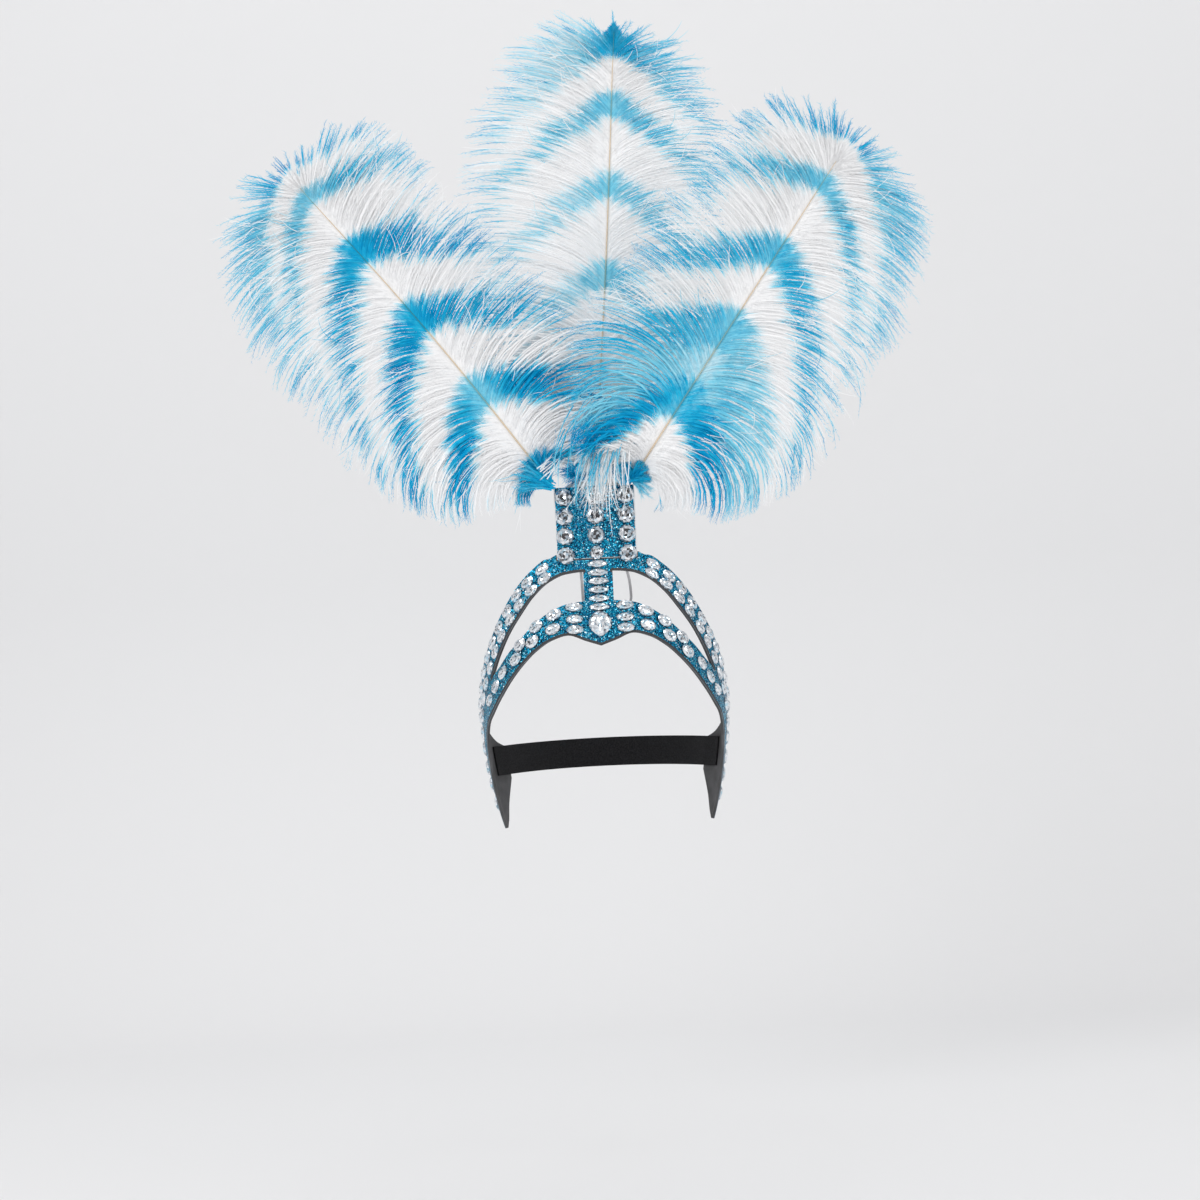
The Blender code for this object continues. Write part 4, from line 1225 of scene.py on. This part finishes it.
@dataclass
class Stones:
    """Every stone of the headdress, set on the foam's outer face."""

    finish: Material
    round_space: float = 1.2
    round_margin: float = 0.6
    beside_space: float = 1.5
    row_pitch: float = 16.2
    row_sink: float = 0.9
    row_samples: int = 160
    outer_start: float = 0.45
    seed: int = 77

    def __post_init__(self) -> None:
        """Starts the seeded randomness of the facets."""
        self.rng = np.random.default_rng(self.seed)

    def set_stone(self, cut: StoneCut, angle: float, height: float, lift: float, tilt: float
                  ) -> tuple[Array, Array, Array]:
        """Turns one stone by its tilt and lays it on the crown's face at a place.

        Args:
            cut: The cut of the stone.
            angle: Degrees round the head.
            height: Height over the temples.
            lift: How far its foot stands off the face.
            tilt: Turn from the direction round the head, in radians.

        Returns:
            Its points, triangles and painted reflections.
        """
        points, triangles, painted_reflection = cut.solid(self.rng)
        normal, round_head, up = wrap_frame(angle, height)
        along = round_head * np.cos(tilt) + up * np.sin(tilt)
        axes = np.stack([along, np.cross(normal, along), normal])
        return points @ axes + wrap(angle, height) + normal * lift, triangles, painted_reflection

    def make(self, name: str, stones: list[tuple[Array, Array, Array]],
             stands_for: tuple[str, ...] = ()) -> None:
        """Joins stones into one piece, with each facet's painted reflection on its face."""
        points, triangles, painted_reflection = zip(*stones)
        counts = np.cumsum([0] + [len(part) for part in points])
        faces = np.concatenate([part + first for part, first in zip(triangles, counts)])
        piece = add_piece(name, np.concatenate(points), [faces], self.finish, stands_for,
                          smooth=False)
        add_values(piece, "facet", np.concatenate(painted_reflection), "FACE")

    def one(self, name: str, cut: StoneCut, angle: float, height: float, tilt: float = 0.0
            ) -> None:
        """One stone that stands for its fixed node, clear of the joint under the plate."""
        over = cut.width / 2 - (height - CROWN_RISE) if height > CROWN_RISE else 0.0
        lift = GAP + max(over, 0.0) * CROWN_LEAN / CROWN_RISE
        self.make(f"{name}_cut", [self.set_stone(cut, angle, height, lift, tilt)], (name,))

    @staticmethod
    def band_tilt(angle: float) -> float:
        """The slope of the brow band's middle line at an angle."""
        at = np.array([angle - 1, angle + 1])
        middle = (level(monotone(STATION_ANGLES, BROW_EDGE, at))
                  + level(monotone(STATION_ANGLES, WINDOW_FOOT, at))) / 2
        x, y, z = np.diff(wrap(at, middle), axis=0)[0]
        return float(np.arctan2(z, np.hypot(x, y)))

    def row(self, line: tuple[tuple[float, float], ...], start: float
            ) -> list[tuple[Array, Array, Array]]:
        """Stones at an even pitch along a line of the crown, on both sides, turned to follow it.

        Args:
            line: Angles and heights of the line.
            start: Where the first stone sits, as a share of the pitch.

        Returns:
            The stones.
        """
        angles, shares = np.array(line).T
        share = np.linspace(0, len(line) - 1, self.row_samples + 1)
        angle = np.interp(share, np.arange(len(line)), angles)
        height = np.interp(share, np.arange(len(line)), level(shares))
        course = np.diff(wrap(angle, height), axis=0)
        stones, due = [], start * self.row_pitch
        for k, travelled in enumerate(np.cumsum(np.linalg.norm(course, axis=1))):
            if travelled < due:
                continue
            due += self.row_pitch
            _, round_head, up = wrap_frame(angle[k + 1], height[k + 1])
            tilt = float(np.arctan2(course[k] @ up, course[k] @ round_head))
            for side in Side:
                stones.append(self.set_stone(ROW_CUT, side.value * angle[k + 1], height[k + 1],
                                             -self.row_sink, side.value * tilt))
        return stones

    def set_plate(self) -> float:
        """Sets the plate's three columns, and gives the height of the last stone's lower end."""
        margin = ROUND_CUT.length / 2 + self.round_margin
        side_angle = angle_at(PLATE_WIDTH / 2 - margin)
        pitch = ROUND_CUT.length + self.round_space
        small = PLATE_TOP - self.round_margin - 3 * pitch - SMALL_ROUND_CUT.length / 2
        for row in range(4):
            for column, angle in (("left", -side_angle), ("centre", 0.0), ("right", side_angle)):
                last = column == "centre" and row == 3
                self.one(f"plate_stone_{column}_{row + 1}", SMALL_ROUND_CUT if last else ROUND_CUT,
                         angle, small if last else PLATE_TOP - margin - row * pitch)
        return small - SMALL_ROUND_CUT.length / 2

    def build(self) -> None:
        """Sets the plate's columns, the strap, the brow band and the rows."""
        plate_end = self.set_plate()
        pear = float(level(PEAR_HEIGHT))
        self.one("drop_stone", PEAR_CUT, 0.0, pear)
        foot = pear + PEAR_CUT.width / 2
        room = plate_end - foot
        count = int(room / (STRAP_CUT.width + GAP))
        for k in range(count):
            self.one(f"strap_stone_{k + 1}", STRAP_CUT, 0.0, foot + room * (k + 0.5) / count)
        beside = angle_at(STRAP_WIDTH / 2 + self.beside_space + BESIDE_CUT.length / 2)
        for side in Side:
            name = side.name.lower()
            for k, share in enumerate(BESIDE_HEIGHTS):
                self.one(f"beside_stone_{name}_{k + 1}", BESIDE_CUT, side.value * beside,
                         float(level(share)))
            for k, (angle, share) in enumerate(PAIR_PLACES):
                self.one(f"brow_stone_{name}_{k + 1}", PAIR_CUT, side.value * angle,
                         float(level(share)), side.value * self.band_tilt(angle))
        self.make("row_stones", self.row(BROW_LINE, 0.0) + self.row(INNER_LINE, 0.0)
                  + self.row(OUTER_LINE, self.outer_start))


Colour = tuple[float, float, float]
Stops = tuple[tuple[float, Colour], ...]


@dataclass(frozen=True)
class Shading:
    """The nodes of one material, joined as they are put in."""

    tree: NodeTree

    def give(self, target: Node, inputs: dict[str | int, object]) -> None:
        """Links the inputs that are given an output, and sets the others to their values."""
        for key, value in inputs.items():
            if isinstance(value, NodeSocket):
                self.tree.links.new(value, target.inputs[key])
            else:
                target.inputs[key].default_value = value

    def put(self, kind: str, inputs: dict[str | int, object], output: str | int = 0,
            **settings: object) -> NodeSocket:
        """Adds a node.

        Args:
            kind: What the node is.
            inputs: For each input, by name or number, a value or another node's output.
            output: The output that is wanted.
            settings: The node's own settings.

        Returns:
            That output.
        """
        made = self.tree.nodes.new(f"ShaderNode{kind}")
        for key, value in settings.items():
            setattr(made, key, value)
        self.give(made, inputs)
        return made.outputs[output]

    def place(self) -> NodeSocket:
        """The piece's own coordinates."""
        return self.put("TexCoord", {}, "Object")

    def value(self, name: str) -> NodeSocket:
        """A number that the piece keeps under that name."""
        return self.put("Attribute", {}, "Fac", attribute_name=name)

    def math(self, operation: str, *values: NodeSocket | float, **settings: object) -> NodeSocket:
        """The result of an operation on those values."""
        return self.put("Math", dict(enumerate(values)), operation=operation, **settings)

    def noise(self, scale: float, detail: float, roughness: float = 0.5,
              place: NodeSocket | None = None) -> NodeSocket:
        """Noise on those coordinates, or on the piece's own."""
        return self.put("TexNoise", {"Vector": self.place() if place is None else place,
                                     "Scale": scale, "Detail": detail, "Roughness": roughness},
                        "Fac")

    def spread(self, value: NodeSocket, low: float, high: float, start: float = 0.0,
               end: float = 1.0) -> NodeSocket:
        """A value carried from between start and end to between low and high."""
        return self.put("MapRange", {"Value": value, "From Min": start, "From Max": end,
                                     "To Min": low, "To Max": high}, "Result")

    def blend(self, share: NodeSocket | float, first: object, second: object,
              kind: str = "MIX") -> NodeSocket:
        """Two colours mixed by a share, in the way that kind names."""
        return self.put("Mix", {"Factor": share, 6: first, 7: second}, 2, data_type="RGBA",
                        blend_type=kind)

    def ramp(self, value: NodeSocket, stops: Stops) -> NodeSocket:
        """Adds a colour ramp.

        Args:
            value: What is looked up.
            stops: Places from 0 to 1, each with its colour.

        Returns:
            The colour.
        """
        made = self.tree.nodes.new("ShaderNodeValToRGB")
        elements = made.color_ramp.elements
        while len(elements) < len(stops):
            elements.new(0.5)
        for element, (place, colour) in zip(elements, stops):
            element.position = place
            element.color = (*colour, 1.0)
        self.give(made, {"Fac": value})
        return made.outputs["Color"]

    def bump(self, height: NodeSocket, strength: float, distance: float = 0.0002) -> NodeSocket:
        """The normal over bumps of that height."""
        return self.put("Bump", {"Height": height, "Strength": strength, "Distance": distance},
                        "Normal")


@dataclass(frozen=True)
class Finish:
    """A Principled material with its even values set on the shader's own sockets."""

    name: str
    roughness: float = 0.5
    metallic: float = 0.0
    specular: float = 0.5
    coat: float = 0.0
    coat_roughness: float = 0.03

    def inputs(self, shading: Shading) -> dict[str, object]:
        """What the finish's own nodes give to the shader, by input."""
        return {}

    def make(self) -> Material:
        """Makes the material."""
        material = bpy.data.materials.new(self.name)
        material.use_nodes = True
        shading = Shading(material.node_tree)
        shader = material.node_tree.nodes["Principled BSDF"]
        shading.give(shader, {"Roughness": self.roughness, "Metallic": self.metallic,
                              "Specular IOR Level": self.specular, "Coat Weight": self.coat,
                              "Coat Roughness": self.coat_roughness})
        shading.give(shader, self.inputs(shading))
        return material


WHITE_DOWN = (0.94, 0.94, 0.945)
DYE_STOPS = (
    (0.00, WHITE_DOWN), (0.12, (0.80, 0.90, 0.94)), (0.32, (0.27, 0.70, 0.85)),
    (0.58, (0.02, 0.50, 0.76)), (0.85, (0.000, 0.34, 0.66)), (1.00, (0.000, 0.18, 0.40)),
)


@dataclass(frozen=True)
class DyedDown(Finish):
    """Ostrich down: white, dyed in bands by the strands' own dye, with a tone for each strand."""

    def inputs(self, shading: Shading) -> dict[str, object]:
        """Reads dye and tone from the strands and mottles them with patchy noise."""
        patchy = shading.spread(shading.noise(90.0, 3.0, 0.6), 0.78, 1.12, 0.3, 0.7)
        uneven = shading.math("MULTIPLY", shading.value("dye"), patchy)
        taken = shading.spread(shading.value("tone"), 0.82, 1.10)
        level_of_dye = shading.math("MULTIPLY", uneven, taken, use_clamp=True)
        return {"Base Color": shading.ramp(level_of_dye, DYE_STOPS)}


@dataclass(frozen=True)
class DyedQuill(Finish):
    """The quill: ivory horn with a faint grain, teal where a band crosses it."""

    def inputs(self, shading: Shading) -> dict[str, object]:
        """Runs from ivory to teal by the quill's dye, darkened by fine grain."""
        colour = shading.ramp(shading.value("dye"), (
            (0.0, (0.84, 0.68, 0.50)), (0.35, (0.30, 0.52, 0.50)), (0.7, (0.02, 0.33, 0.46)),
            (1.0, (0.0, 0.10, 0.28))))
        return {"Base Color": shading.blend(0.35, colour, shading.noise(700.0, 2.0), "MULTIPLY")}


@dataclass(frozen=True)
class Glitter(Finish):
    """Glitter film: flakes of several blues, the lightest painted near white as painted glints,
    each tipped its own way, and a plain rim.
    """

    flake: float = 0.75
    rim_width: float = 2.1
    rim_waver: float = 1.2
    rim_colour: Colour = (0.055, 0.055, 0.058)
    rim_roughness: float = 0.75
    tip: float = 0.85

    def inputs(self, shading: Shading) -> dict[str, object]:
        """Colours and tips the cells of a Voronoi pattern, inside a rim with a ragged edge."""
        flakes = shading.put("TexVoronoi", {"Vector": shading.place(),
                                            "Scale": 1.0 / MM / self.flake}, "Color")
        # The flakes' own blues run from dark to light cyan; the top stop, near white, is painted
        # sparkle glints.
        colour = shading.ramp(shading.put("SeparateColor", {"Color": flakes}, "Red"), (
            (0.00, (0.000, 0.006, 0.022)), (0.32, (0.000, 0.060, 0.140)),
            (0.58, (0.000, 0.190, 0.360)), (0.80, (0.002, 0.360, 0.590)),
            (0.94, (0.150, 0.640, 0.800)), (1.00, (0.850, 0.960, 1.000))))
        wavy = shading.math("MULTIPLY_ADD", shading.noise(700.0, 2.0), self.rim_waver,
                            self.rim_width - self.rim_waver / 2)
        filmed = shading.math("GREATER_THAN", shading.value("rim"), wavy)
        centred = shading.put("VectorMath", {0: flakes, 1: (0.5, 0.5, 0.5)}, operation="SUBTRACT")
        tipped = shading.put("VectorMath", {
            0: centred, "Scale": shading.math("MULTIPLY", filmed, self.tip)}, operation="SCALE")
        normal = shading.put("NewGeometry", {}, "Normal")
        total = shading.put("VectorMath", {0: tipped, 1: normal}, operation="ADD")
        return {"Base Color": shading.blend(filmed, (*self.rim_colour, 1.0), colour),
                "Roughness": shading.spread(filmed, self.rim_roughness, self.roughness),
                "Metallic": shading.spread(filmed, 0.0, self.metallic),
                "Normal": shading.put("VectorMath", {0: total}, operation="NORMALIZE")}


@dataclass(frozen=True)
class FoiledStone(Finish):
    """A clear stone over silver foil: each facet has its own painted reflection, from dark to
    white, under a gloss coat.
    """

    def inputs(self, shading: Shading) -> dict[str, object]:
        """Colours the facets by their painted reflections, with a breath of painted blue reflection
        from the glitter below.
        """
        # Painted reflections: the facets run from near black to white by their set brightness.
        colour = shading.ramp(shading.value("facet"), (
            (0.00, (0.030, 0.028, 0.030)), (0.25, (0.16, 0.16, 0.17)), (0.55, (0.55, 0.60, 0.66)),
            (1.00, (0.97, 0.98, 1.00))))
        # Painted reflection: cells of light blue are multiplied in, for the blue glitter seen in
        # the stones.
        inner = shading.put("TexVoronoi", {"Vector": shading.place(), "Scale": 420.0}, "Color")
        painted_glitter_reflection = shading.ramp(shading.put("SeparateColor", {"Color": inner}, "Green"), (
            (0.0, (1.0, 1.0, 1.0)), (0.62, (0.93, 0.96, 0.98)), (0.80, (0.55, 0.80, 0.92)),
            (1.0, (1.0, 1.0, 1.0))))
        return {"Base Color": shading.blend(1.0, colour, painted_glitter_reflection, "MULTIPLY")}


@dataclass(frozen=True)
class Foam(Finish):
    """Closed-cell foam: an even colour with fine cells and a slow change of tone."""

    colour: Colour = (0.06, 0.06, 0.062)
    lighter: Colour = (0.10, 0.10, 0.105)

    def inputs(self, shading: Shading) -> dict[str, object]:
        """Mixes two tones by noise and bumps the surface by fine cells."""
        cells = shading.put("TexVoronoi", {"Vector": shading.place(), "Scale": 2200.0}, "Distance")
        stops = ((0.35, self.colour), (0.68, self.lighter))
        return {"Base Color": shading.ramp(shading.noise(60.0, 5.0), stops),
                "Normal": shading.bump(cells, 0.25)}


@dataclass(frozen=True)
class Webbing(Finish):
    """Woven elastic: black yarn whose picks cross the cords."""

    picks: float = 620.0

    def inputs(self, shading: Shading) -> dict[str, object]:
        """Waves run round the band by its own angle and bump the yarn."""
        wave = shading.math("SINE", shading.math("MULTIPLY", shading.value("along"), self.picks))
        stops = ((0.35, (0.004, 0.004, 0.005)), (0.7, (0.018, 0.018, 0.020)))
        return {"Base Color": shading.ramp(shading.noise(900.0, 3.0), stops),
                "Normal": shading.bump(wave, 0.5)}


@dataclass(frozen=True)
class DrawnSteel(Finish):
    """Drawn steel wire: fine lines along it and a little tarnish."""

    stretch: tuple[float, float, float] = (1.0, 1.0, 0.08)

    def inputs(self, shading: Shading) -> dict[str, object]:
        """Noise in tone and roughness, stretched along Z."""
        drawn = shading.put("Mapping", {"Vector": shading.place(), "Scale": self.stretch})
        lines = shading.noise(2600.0, 2.0, place=drawn)
        return {"Base Color": shading.ramp(lines, ((0.3, (0.16, 0.16, 0.17)),
                                                   (0.7, (0.42, 0.42, 0.44)))),
                "Roughness": shading.spread(lines, 0.22, 0.42)}


@dataclass(frozen=True)
class SweepPaint(Finish):
    """Pale matt paint that is clear from behind."""

    colour: Colour = (0.80, 0.80, 0.805)

    def inputs(self, shading: Shading) -> dict[str, object]:
        """Gives the colour, and lets the back of the sweep through to the output."""
        nodes = shading.tree.nodes
        behind = shading.put("NewGeometry", {}, "Backfacing")
        seen = shading.put("MixShader", {"Fac": behind, 1: nodes["Principled BSDF"].outputs["BSDF"],
                                         2: shading.put("BsdfTransparent", {})})
        shading.give(nodes["Material Output"], {"Surface": seen})
        return {"Base Color": (*self.colour, 1.0)}


@dataclass(frozen=True)
class Tuft:
    """A bundle of loose strands that fans out of one foot, in front of the quills' feet.

    Headings are degrees from +X towards +Z. A strand's heading is `heading` plus its share of the
    fan, and turns by `curl` to its tip.
    """

    name: str
    foot: tuple[float, float]
    depth: float
    heading: float
    fan: float
    length: float
    curl: float
    strands: int
    root_dye: float
    tip_dye: float
    foot_spread: float = 3.0
    hairs: int = 26
    hair_length: float = 4.5
    hair_width: float = 0.16
    strand_width: float = 0.55
    steps: int = 9
    seed: int = 5

    def build(self, finish: Material) -> None:
        """Builds the strands and the fine hairs on them as one piece."""
        rng = np.random.default_rng([self.seed, int(abs(self.heading)), self.strands])
        count, last, column = self.strands, self.steps - 1, (self.strands, 1)
        u = np.linspace(0, 1, self.steps)[None, :]
        part = rng.uniform(-1, 1, column)
        heading = np.radians(self.heading + self.fan * part + rng.normal(0, 5, column)
                             + (self.curl + rng.normal(0, 10, column)) * u ** 1.3)
        pace = self.length * rng.uniform(0.65, 1.1, column) / last
        start = np.array(self.foot) + rng.normal(0, self.foot_spread / 2, (count, 2))
        step_x, step_z = np.cos(heading) * pace, np.sin(heading) * pace
        x = start[:, :1] + np.cumsum(step_x, axis=1) - step_x[:, :1]
        z = start[:, 1:] + np.cumsum(step_z, axis=1) - step_z[:, :1]
        y = self.depth - rng.uniform(0, 3.0, column) - 2.0 * np.sin(np.pi * u)
        path = np.stack([x, y, z], axis=-1)
        along, flat, thick = strand_frame(path)
        width = np.repeat(self.strand_width * (1 - 0.75 * u), count, axis=0)
        dye = np.clip(self.root_dye + (self.tip_dye - self.root_dye) * u
                      + rng.normal(0, 0.06, column), 0, 1)
        tone = rng.random(count)
        bundle = Strands()
        bundle.add_blades(path, flat, thick, width, 0.4 * width + 0.03, dye, tone)
        place = rng.uniform(0.1, 0.99, (count, self.hairs)) * last
        rows, low, each = np.arange(count)[:, None], place.astype(int), (count, self.hairs, 1)
        spread = np.radians(rng.uniform(15, 45, each))
        flank = rng.choice([-1.0, 1.0], each)
        way = unit(along[rows, low] * np.cos(spread) + flat[rows, low] * flank * np.sin(spread)
                   + FRONT * rng.normal(0.05, 0.25, each))
        reach = self.hair_length * rng.uniform(0.5, 1.2, each)
        bundle.add_spikes(read_rows(path, place), way, reach, FRONT + 0.01 * flat[rows, low],
                          self.hair_width, dye[rows, low], np.repeat(tone, self.hairs))
        bundle.make(self.name, finish)


TUFTS = (
    Tuft("tuft_left_outer", (-34.0, 171.5), -97.5, 152.0, 26.0, 30.0, 18.0, 60, 0.78, 0.55),
    Tuft("tuft_left_inner", (-37.0, 177.0), -96.5, 92.0, 24.0, 23.0, -18.0, 40, 0.84, 0.78),
    Tuft("tuft_left_ribs", (-40.0, 182.0), -101.0, 42.0, 10.0, 17.0, 14.0, 12, 0.05, 0.0, 8.0, 6),
    Tuft("tuft_middle", (4.0, 177.5), -97.0, 166.0, 18.0, 30.0, 14.0, 56, 1.0, 0.94),
    Tuft("tuft_right_inner", (26.0, 172.0), -97.0, 112.0, 20.0, 22.0, -14.0, 50, 0.80, 0.74),
    Tuft("tuft_right_outer", (29.0, 174.0), -97.0, 24.0, 34.0, 20.0, 10.0, 36, 0.90, 0.66),
    Tuft("tuft_right_low", (33.0, 173.0), -96.0, -38.0, 24.0, 17.0, -10.0, 22, 0.62, 0.30),
    Tuft("lock_blue", (9.0, 222.0), -112.0, -122.0, 16.0, 52.0, 26.0, 36, 0.74, 0.46, 24.0),
    Tuft("lock_white", (15.0, 206.0), -109.0, -108.0, 12.0, 58.0, 14.0, 70, 0.08, 0.0, 13.0),
)


PLUMES = (
    Plume("plume_left", -1.0, -37.5, 4.1, 304.0, -6.0, 1.04,
          VaneSide(134.0, 0.12, 146.0, 30.0, 14.0),
          VaneSide(110.0, 0.34, 112.0, 0.0, 40.0, 0.19, 26.0),
          (Stripe(-20, 31, 0.72, 0.85, 0.72), Stripe(84, 115, 0.80, 0.42, 0.85),
           Stripe(162, 193, 0.80, 0.72, 0.72), Stripe(235, 261, 0.72, 0.72, 0.78),
           Stripe(299, 313, 0.52, 0.38, 0.58), Stripe(334, 460, 0.46, 0.88, 0.70)), 11),
    Plume("plume_centre", 0.0, 5.3, 1.7, 340.0, 14.0, 1.09,
          VaneSide(134.0, 0.1, 128.0, 8.0), VaneSide(112.6, 0.1, 128.0, 8.0),
          (Stripe(-20, 24, 1.0, 1.0, 1.0), Stripe(162, 186, 0.28, 0.38, 0.44),
           Stripe(236, 258, 0.30, 0.36, 0.46), Stripe(302, 322, 0.38, 0.42, 0.48),
           Stripe(350, 480, 0.24, 0.66, 0.46)), 12),
    Plume("plume_right", 0.88, 35.5, 0.0, 300.0, -26.0, 1.02,
          VaneSide(117.9, 0.34, 118.0, 0.0, 76.0, 0.17, 22.0, 40.0),
          VaneSide(134.0, 0.18, 146.0, 26.0, 22.0),
          (Stripe(-20, 14, 0.95, 1.0, 0.95), Stripe(63, 98, 0.84, 0.55, 0.84),
           Stripe(98, 128, 0.40, 0.24, 0.46), Stripe(128, 166, 0.60, 0.44, 0.34),
           Stripe(207, 234, 0.60, 0.52, 0.68), Stripe(278, 294, 0.50, 0.42, 0.54),
           Stripe(326, 460, 0.70, 0.86, 0.44)), 13),
)


@dataclass(frozen=True)
class Lamp:
    """A square soft light: its place and aim in metres, its size and its power."""

    name: str
    place: tuple[float, float, float]
    size: float
    power: float
    aim: tuple[float, float, float] = (0.0, 0.0, 0.2)

    def build(self) -> None:
        """Adds the light, turned to its aim."""
        light = bpy.data.lights.new(self.name, "AREA")
        light.size = self.size
        light.energy = self.power
        lamp = bpy.data.objects.new(self.name, light)
        lamp.location = Vector(self.place)
        lamp.rotation_mode = "QUATERNION"
        way = Vector(self.aim) - Vector(self.place)
        lamp.rotation_quaternion = way.to_track_quat("-Z", "Y")
        bpy.context.scene.collection.objects.link(lamp)


LAMPS = (
    Lamp("key_light", (-1.5, -2.2, 1.7), 1.4, 30),
    Lamp("fill_light", (1.9, -2.0, 0.9), 1.2, 14),
    Lamp("top_light", (0.1, 0.2, 2.3), 1.6, 12),
)


@dataclass
class Studio:
    """The plain pale sweep, the soft lights and the camera at the photo's angle."""

    floor_level: float = -385.0
    floor_start: float = -4000.0
    half_width: float = 5000.0
    wall_depth: float = 1150.0
    wall_top: float = 3200.0
    bend: float = 500.0
    bend_steps: int = 24
    sky_colour: tuple[float, float, float, float] = (0.99, 0.99, 1.0, 1.0)
    sky_strength: float = 0.62
    camera_place: tuple[float, float, float] = (0.69, -2500.0, 76.55)
    roll: float = 2.74
    lens: float = 88.2
    sensor: float = 36.0
    far: float = 50.0

    def build_sweep(self) -> None:
        """A floor that runs up into a wall by a quarter circle: a profile, drawn out along X."""
        turn = np.linspace(0, np.pi / 2, self.bend_steps)
        profile = np.concatenate([
            [[self.floor_start, self.floor_level]],
            np.stack([self.wall_depth - self.bend + self.bend * np.sin(turn),
                      self.floor_level + self.bend * (1 - np.cos(turn))], axis=1),
            [[self.wall_depth, self.wall_top]]])
        count = len(profile)
        points = np.concatenate([np.column_stack([np.full(count, x), profile])
                                 for x in (-self.half_width, self.half_width)]) * MM
        faces = [[k, count + k, count + k + 1, k + 1] for k in range(count - 1)]
        mesh = bpy.data.meshes.new("sweep")
        mesh.from_pydata(points.tolist(), [], faces)
        mesh.shade_smooth()
        mesh.materials.append(SweepPaint("sweep_paint", roughness=0.9, specular=0.2).make())
        sweep = bpy.data.objects.new("sweep", mesh)
        bpy.context.scene.collection.objects.link(sweep)

    def build_camera(self) -> None:
        """The camera: level, looking along +Y, and rolled by a few degrees."""
        camera = bpy.data.cameras.new("camera")
        camera.lens = self.lens
        camera.sensor_width = self.sensor
        camera.clip_end = self.far
        view = bpy.data.objects.new("camera", camera)
        turn = np.radians(self.roll)
        right = Vector((np.cos(turn), 0, -np.sin(turn)))
        up = Vector((np.sin(turn), 0, np.cos(turn)))
        matrix = Matrix((right, up, Vector((0, -1, 0)))).transposed().to_4x4()
        matrix.translation = Vector(self.camera_place) * MM
        view.matrix_world = matrix
        bpy.context.scene.collection.objects.link(view)
        bpy.context.scene.camera = view

    def build(self) -> None:
        """Builds the sweep, the lights, the surroundings and the camera."""
        self.build_sweep()
        for lamp in LAMPS:
            lamp.build()
        world = bpy.data.worlds.new("surroundings")
        world.use_nodes = True
        sky = world.node_tree.nodes["Background"]
        sky.inputs["Color"].default_value = self.sky_colour
        sky.inputs["Strength"].default_value = self.sky_strength
        bpy.context.scene.world = world
        bpy.context.scene.view_settings.view_transform = "Standard"
        self.build_camera()


def main() -> None:
    """Builds the studio and every piece of the headdress."""
    logging.basicConfig(level=logging.INFO, format="%(message)s")
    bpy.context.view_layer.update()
    Studio().build()
    down = DyedDown("ostrich_down", roughness=0.9, specular=0.08).make()
    horn = DyedQuill("quill_horn", roughness=0.45, specular=0.4).make()
    for plume in PLUMES:
        plume.build(down, horn)
    for tuft in TUFTS:
        tuft.build(down)
    film = {"roughness": 0.28, "metallic": 0.75, "specular": 0.35}
    glitter = Glitter("glitter_film", **film).make()
    plate_glitter = Glitter("plate_glitter", rim_width=0.8, rim_colour=(0.80, 0.80, 0.80),
                            **film).make()
    film_edge = Foam("film_edge", roughness=0.6, colour=(0.14, 0.18, 0.22),
                     lighter=(0.24, 0.30, 0.34)).make()
    charcoal = Foam("charcoal_foam", roughness=0.75, specular=0.3).make()
    white = Foam("white_foam", roughness=0.7, colour=(0.80, 0.80, 0.80),
                 lighter=(0.88, 0.88, 0.88)).make()
    cream = Foam("cream_backing", roughness=0.6, colour=(0.72, 0.69, 0.64),
                 lighter=(0.82, 0.79, 0.74)).make()
    FoamCrown().build(glitter, film_edge, charcoal)
    CrestPlate().build(plate_glitter, white, charcoal)
    Backing().build(cream)
    Elastic().build(Webbing("elastic_yarn", roughness=0.85, specular=0.25).make())
    SteelWire().build(DrawnSteel("drawn_steel", roughness=0.3, metallic=1.0).make())
    Stones(FoiledStone("foiled_stone", roughness=0.06, metallic=0.85, specular=0.8,
                       coat=1.0).make()).build()


if __name__ == "__main__":
    main()
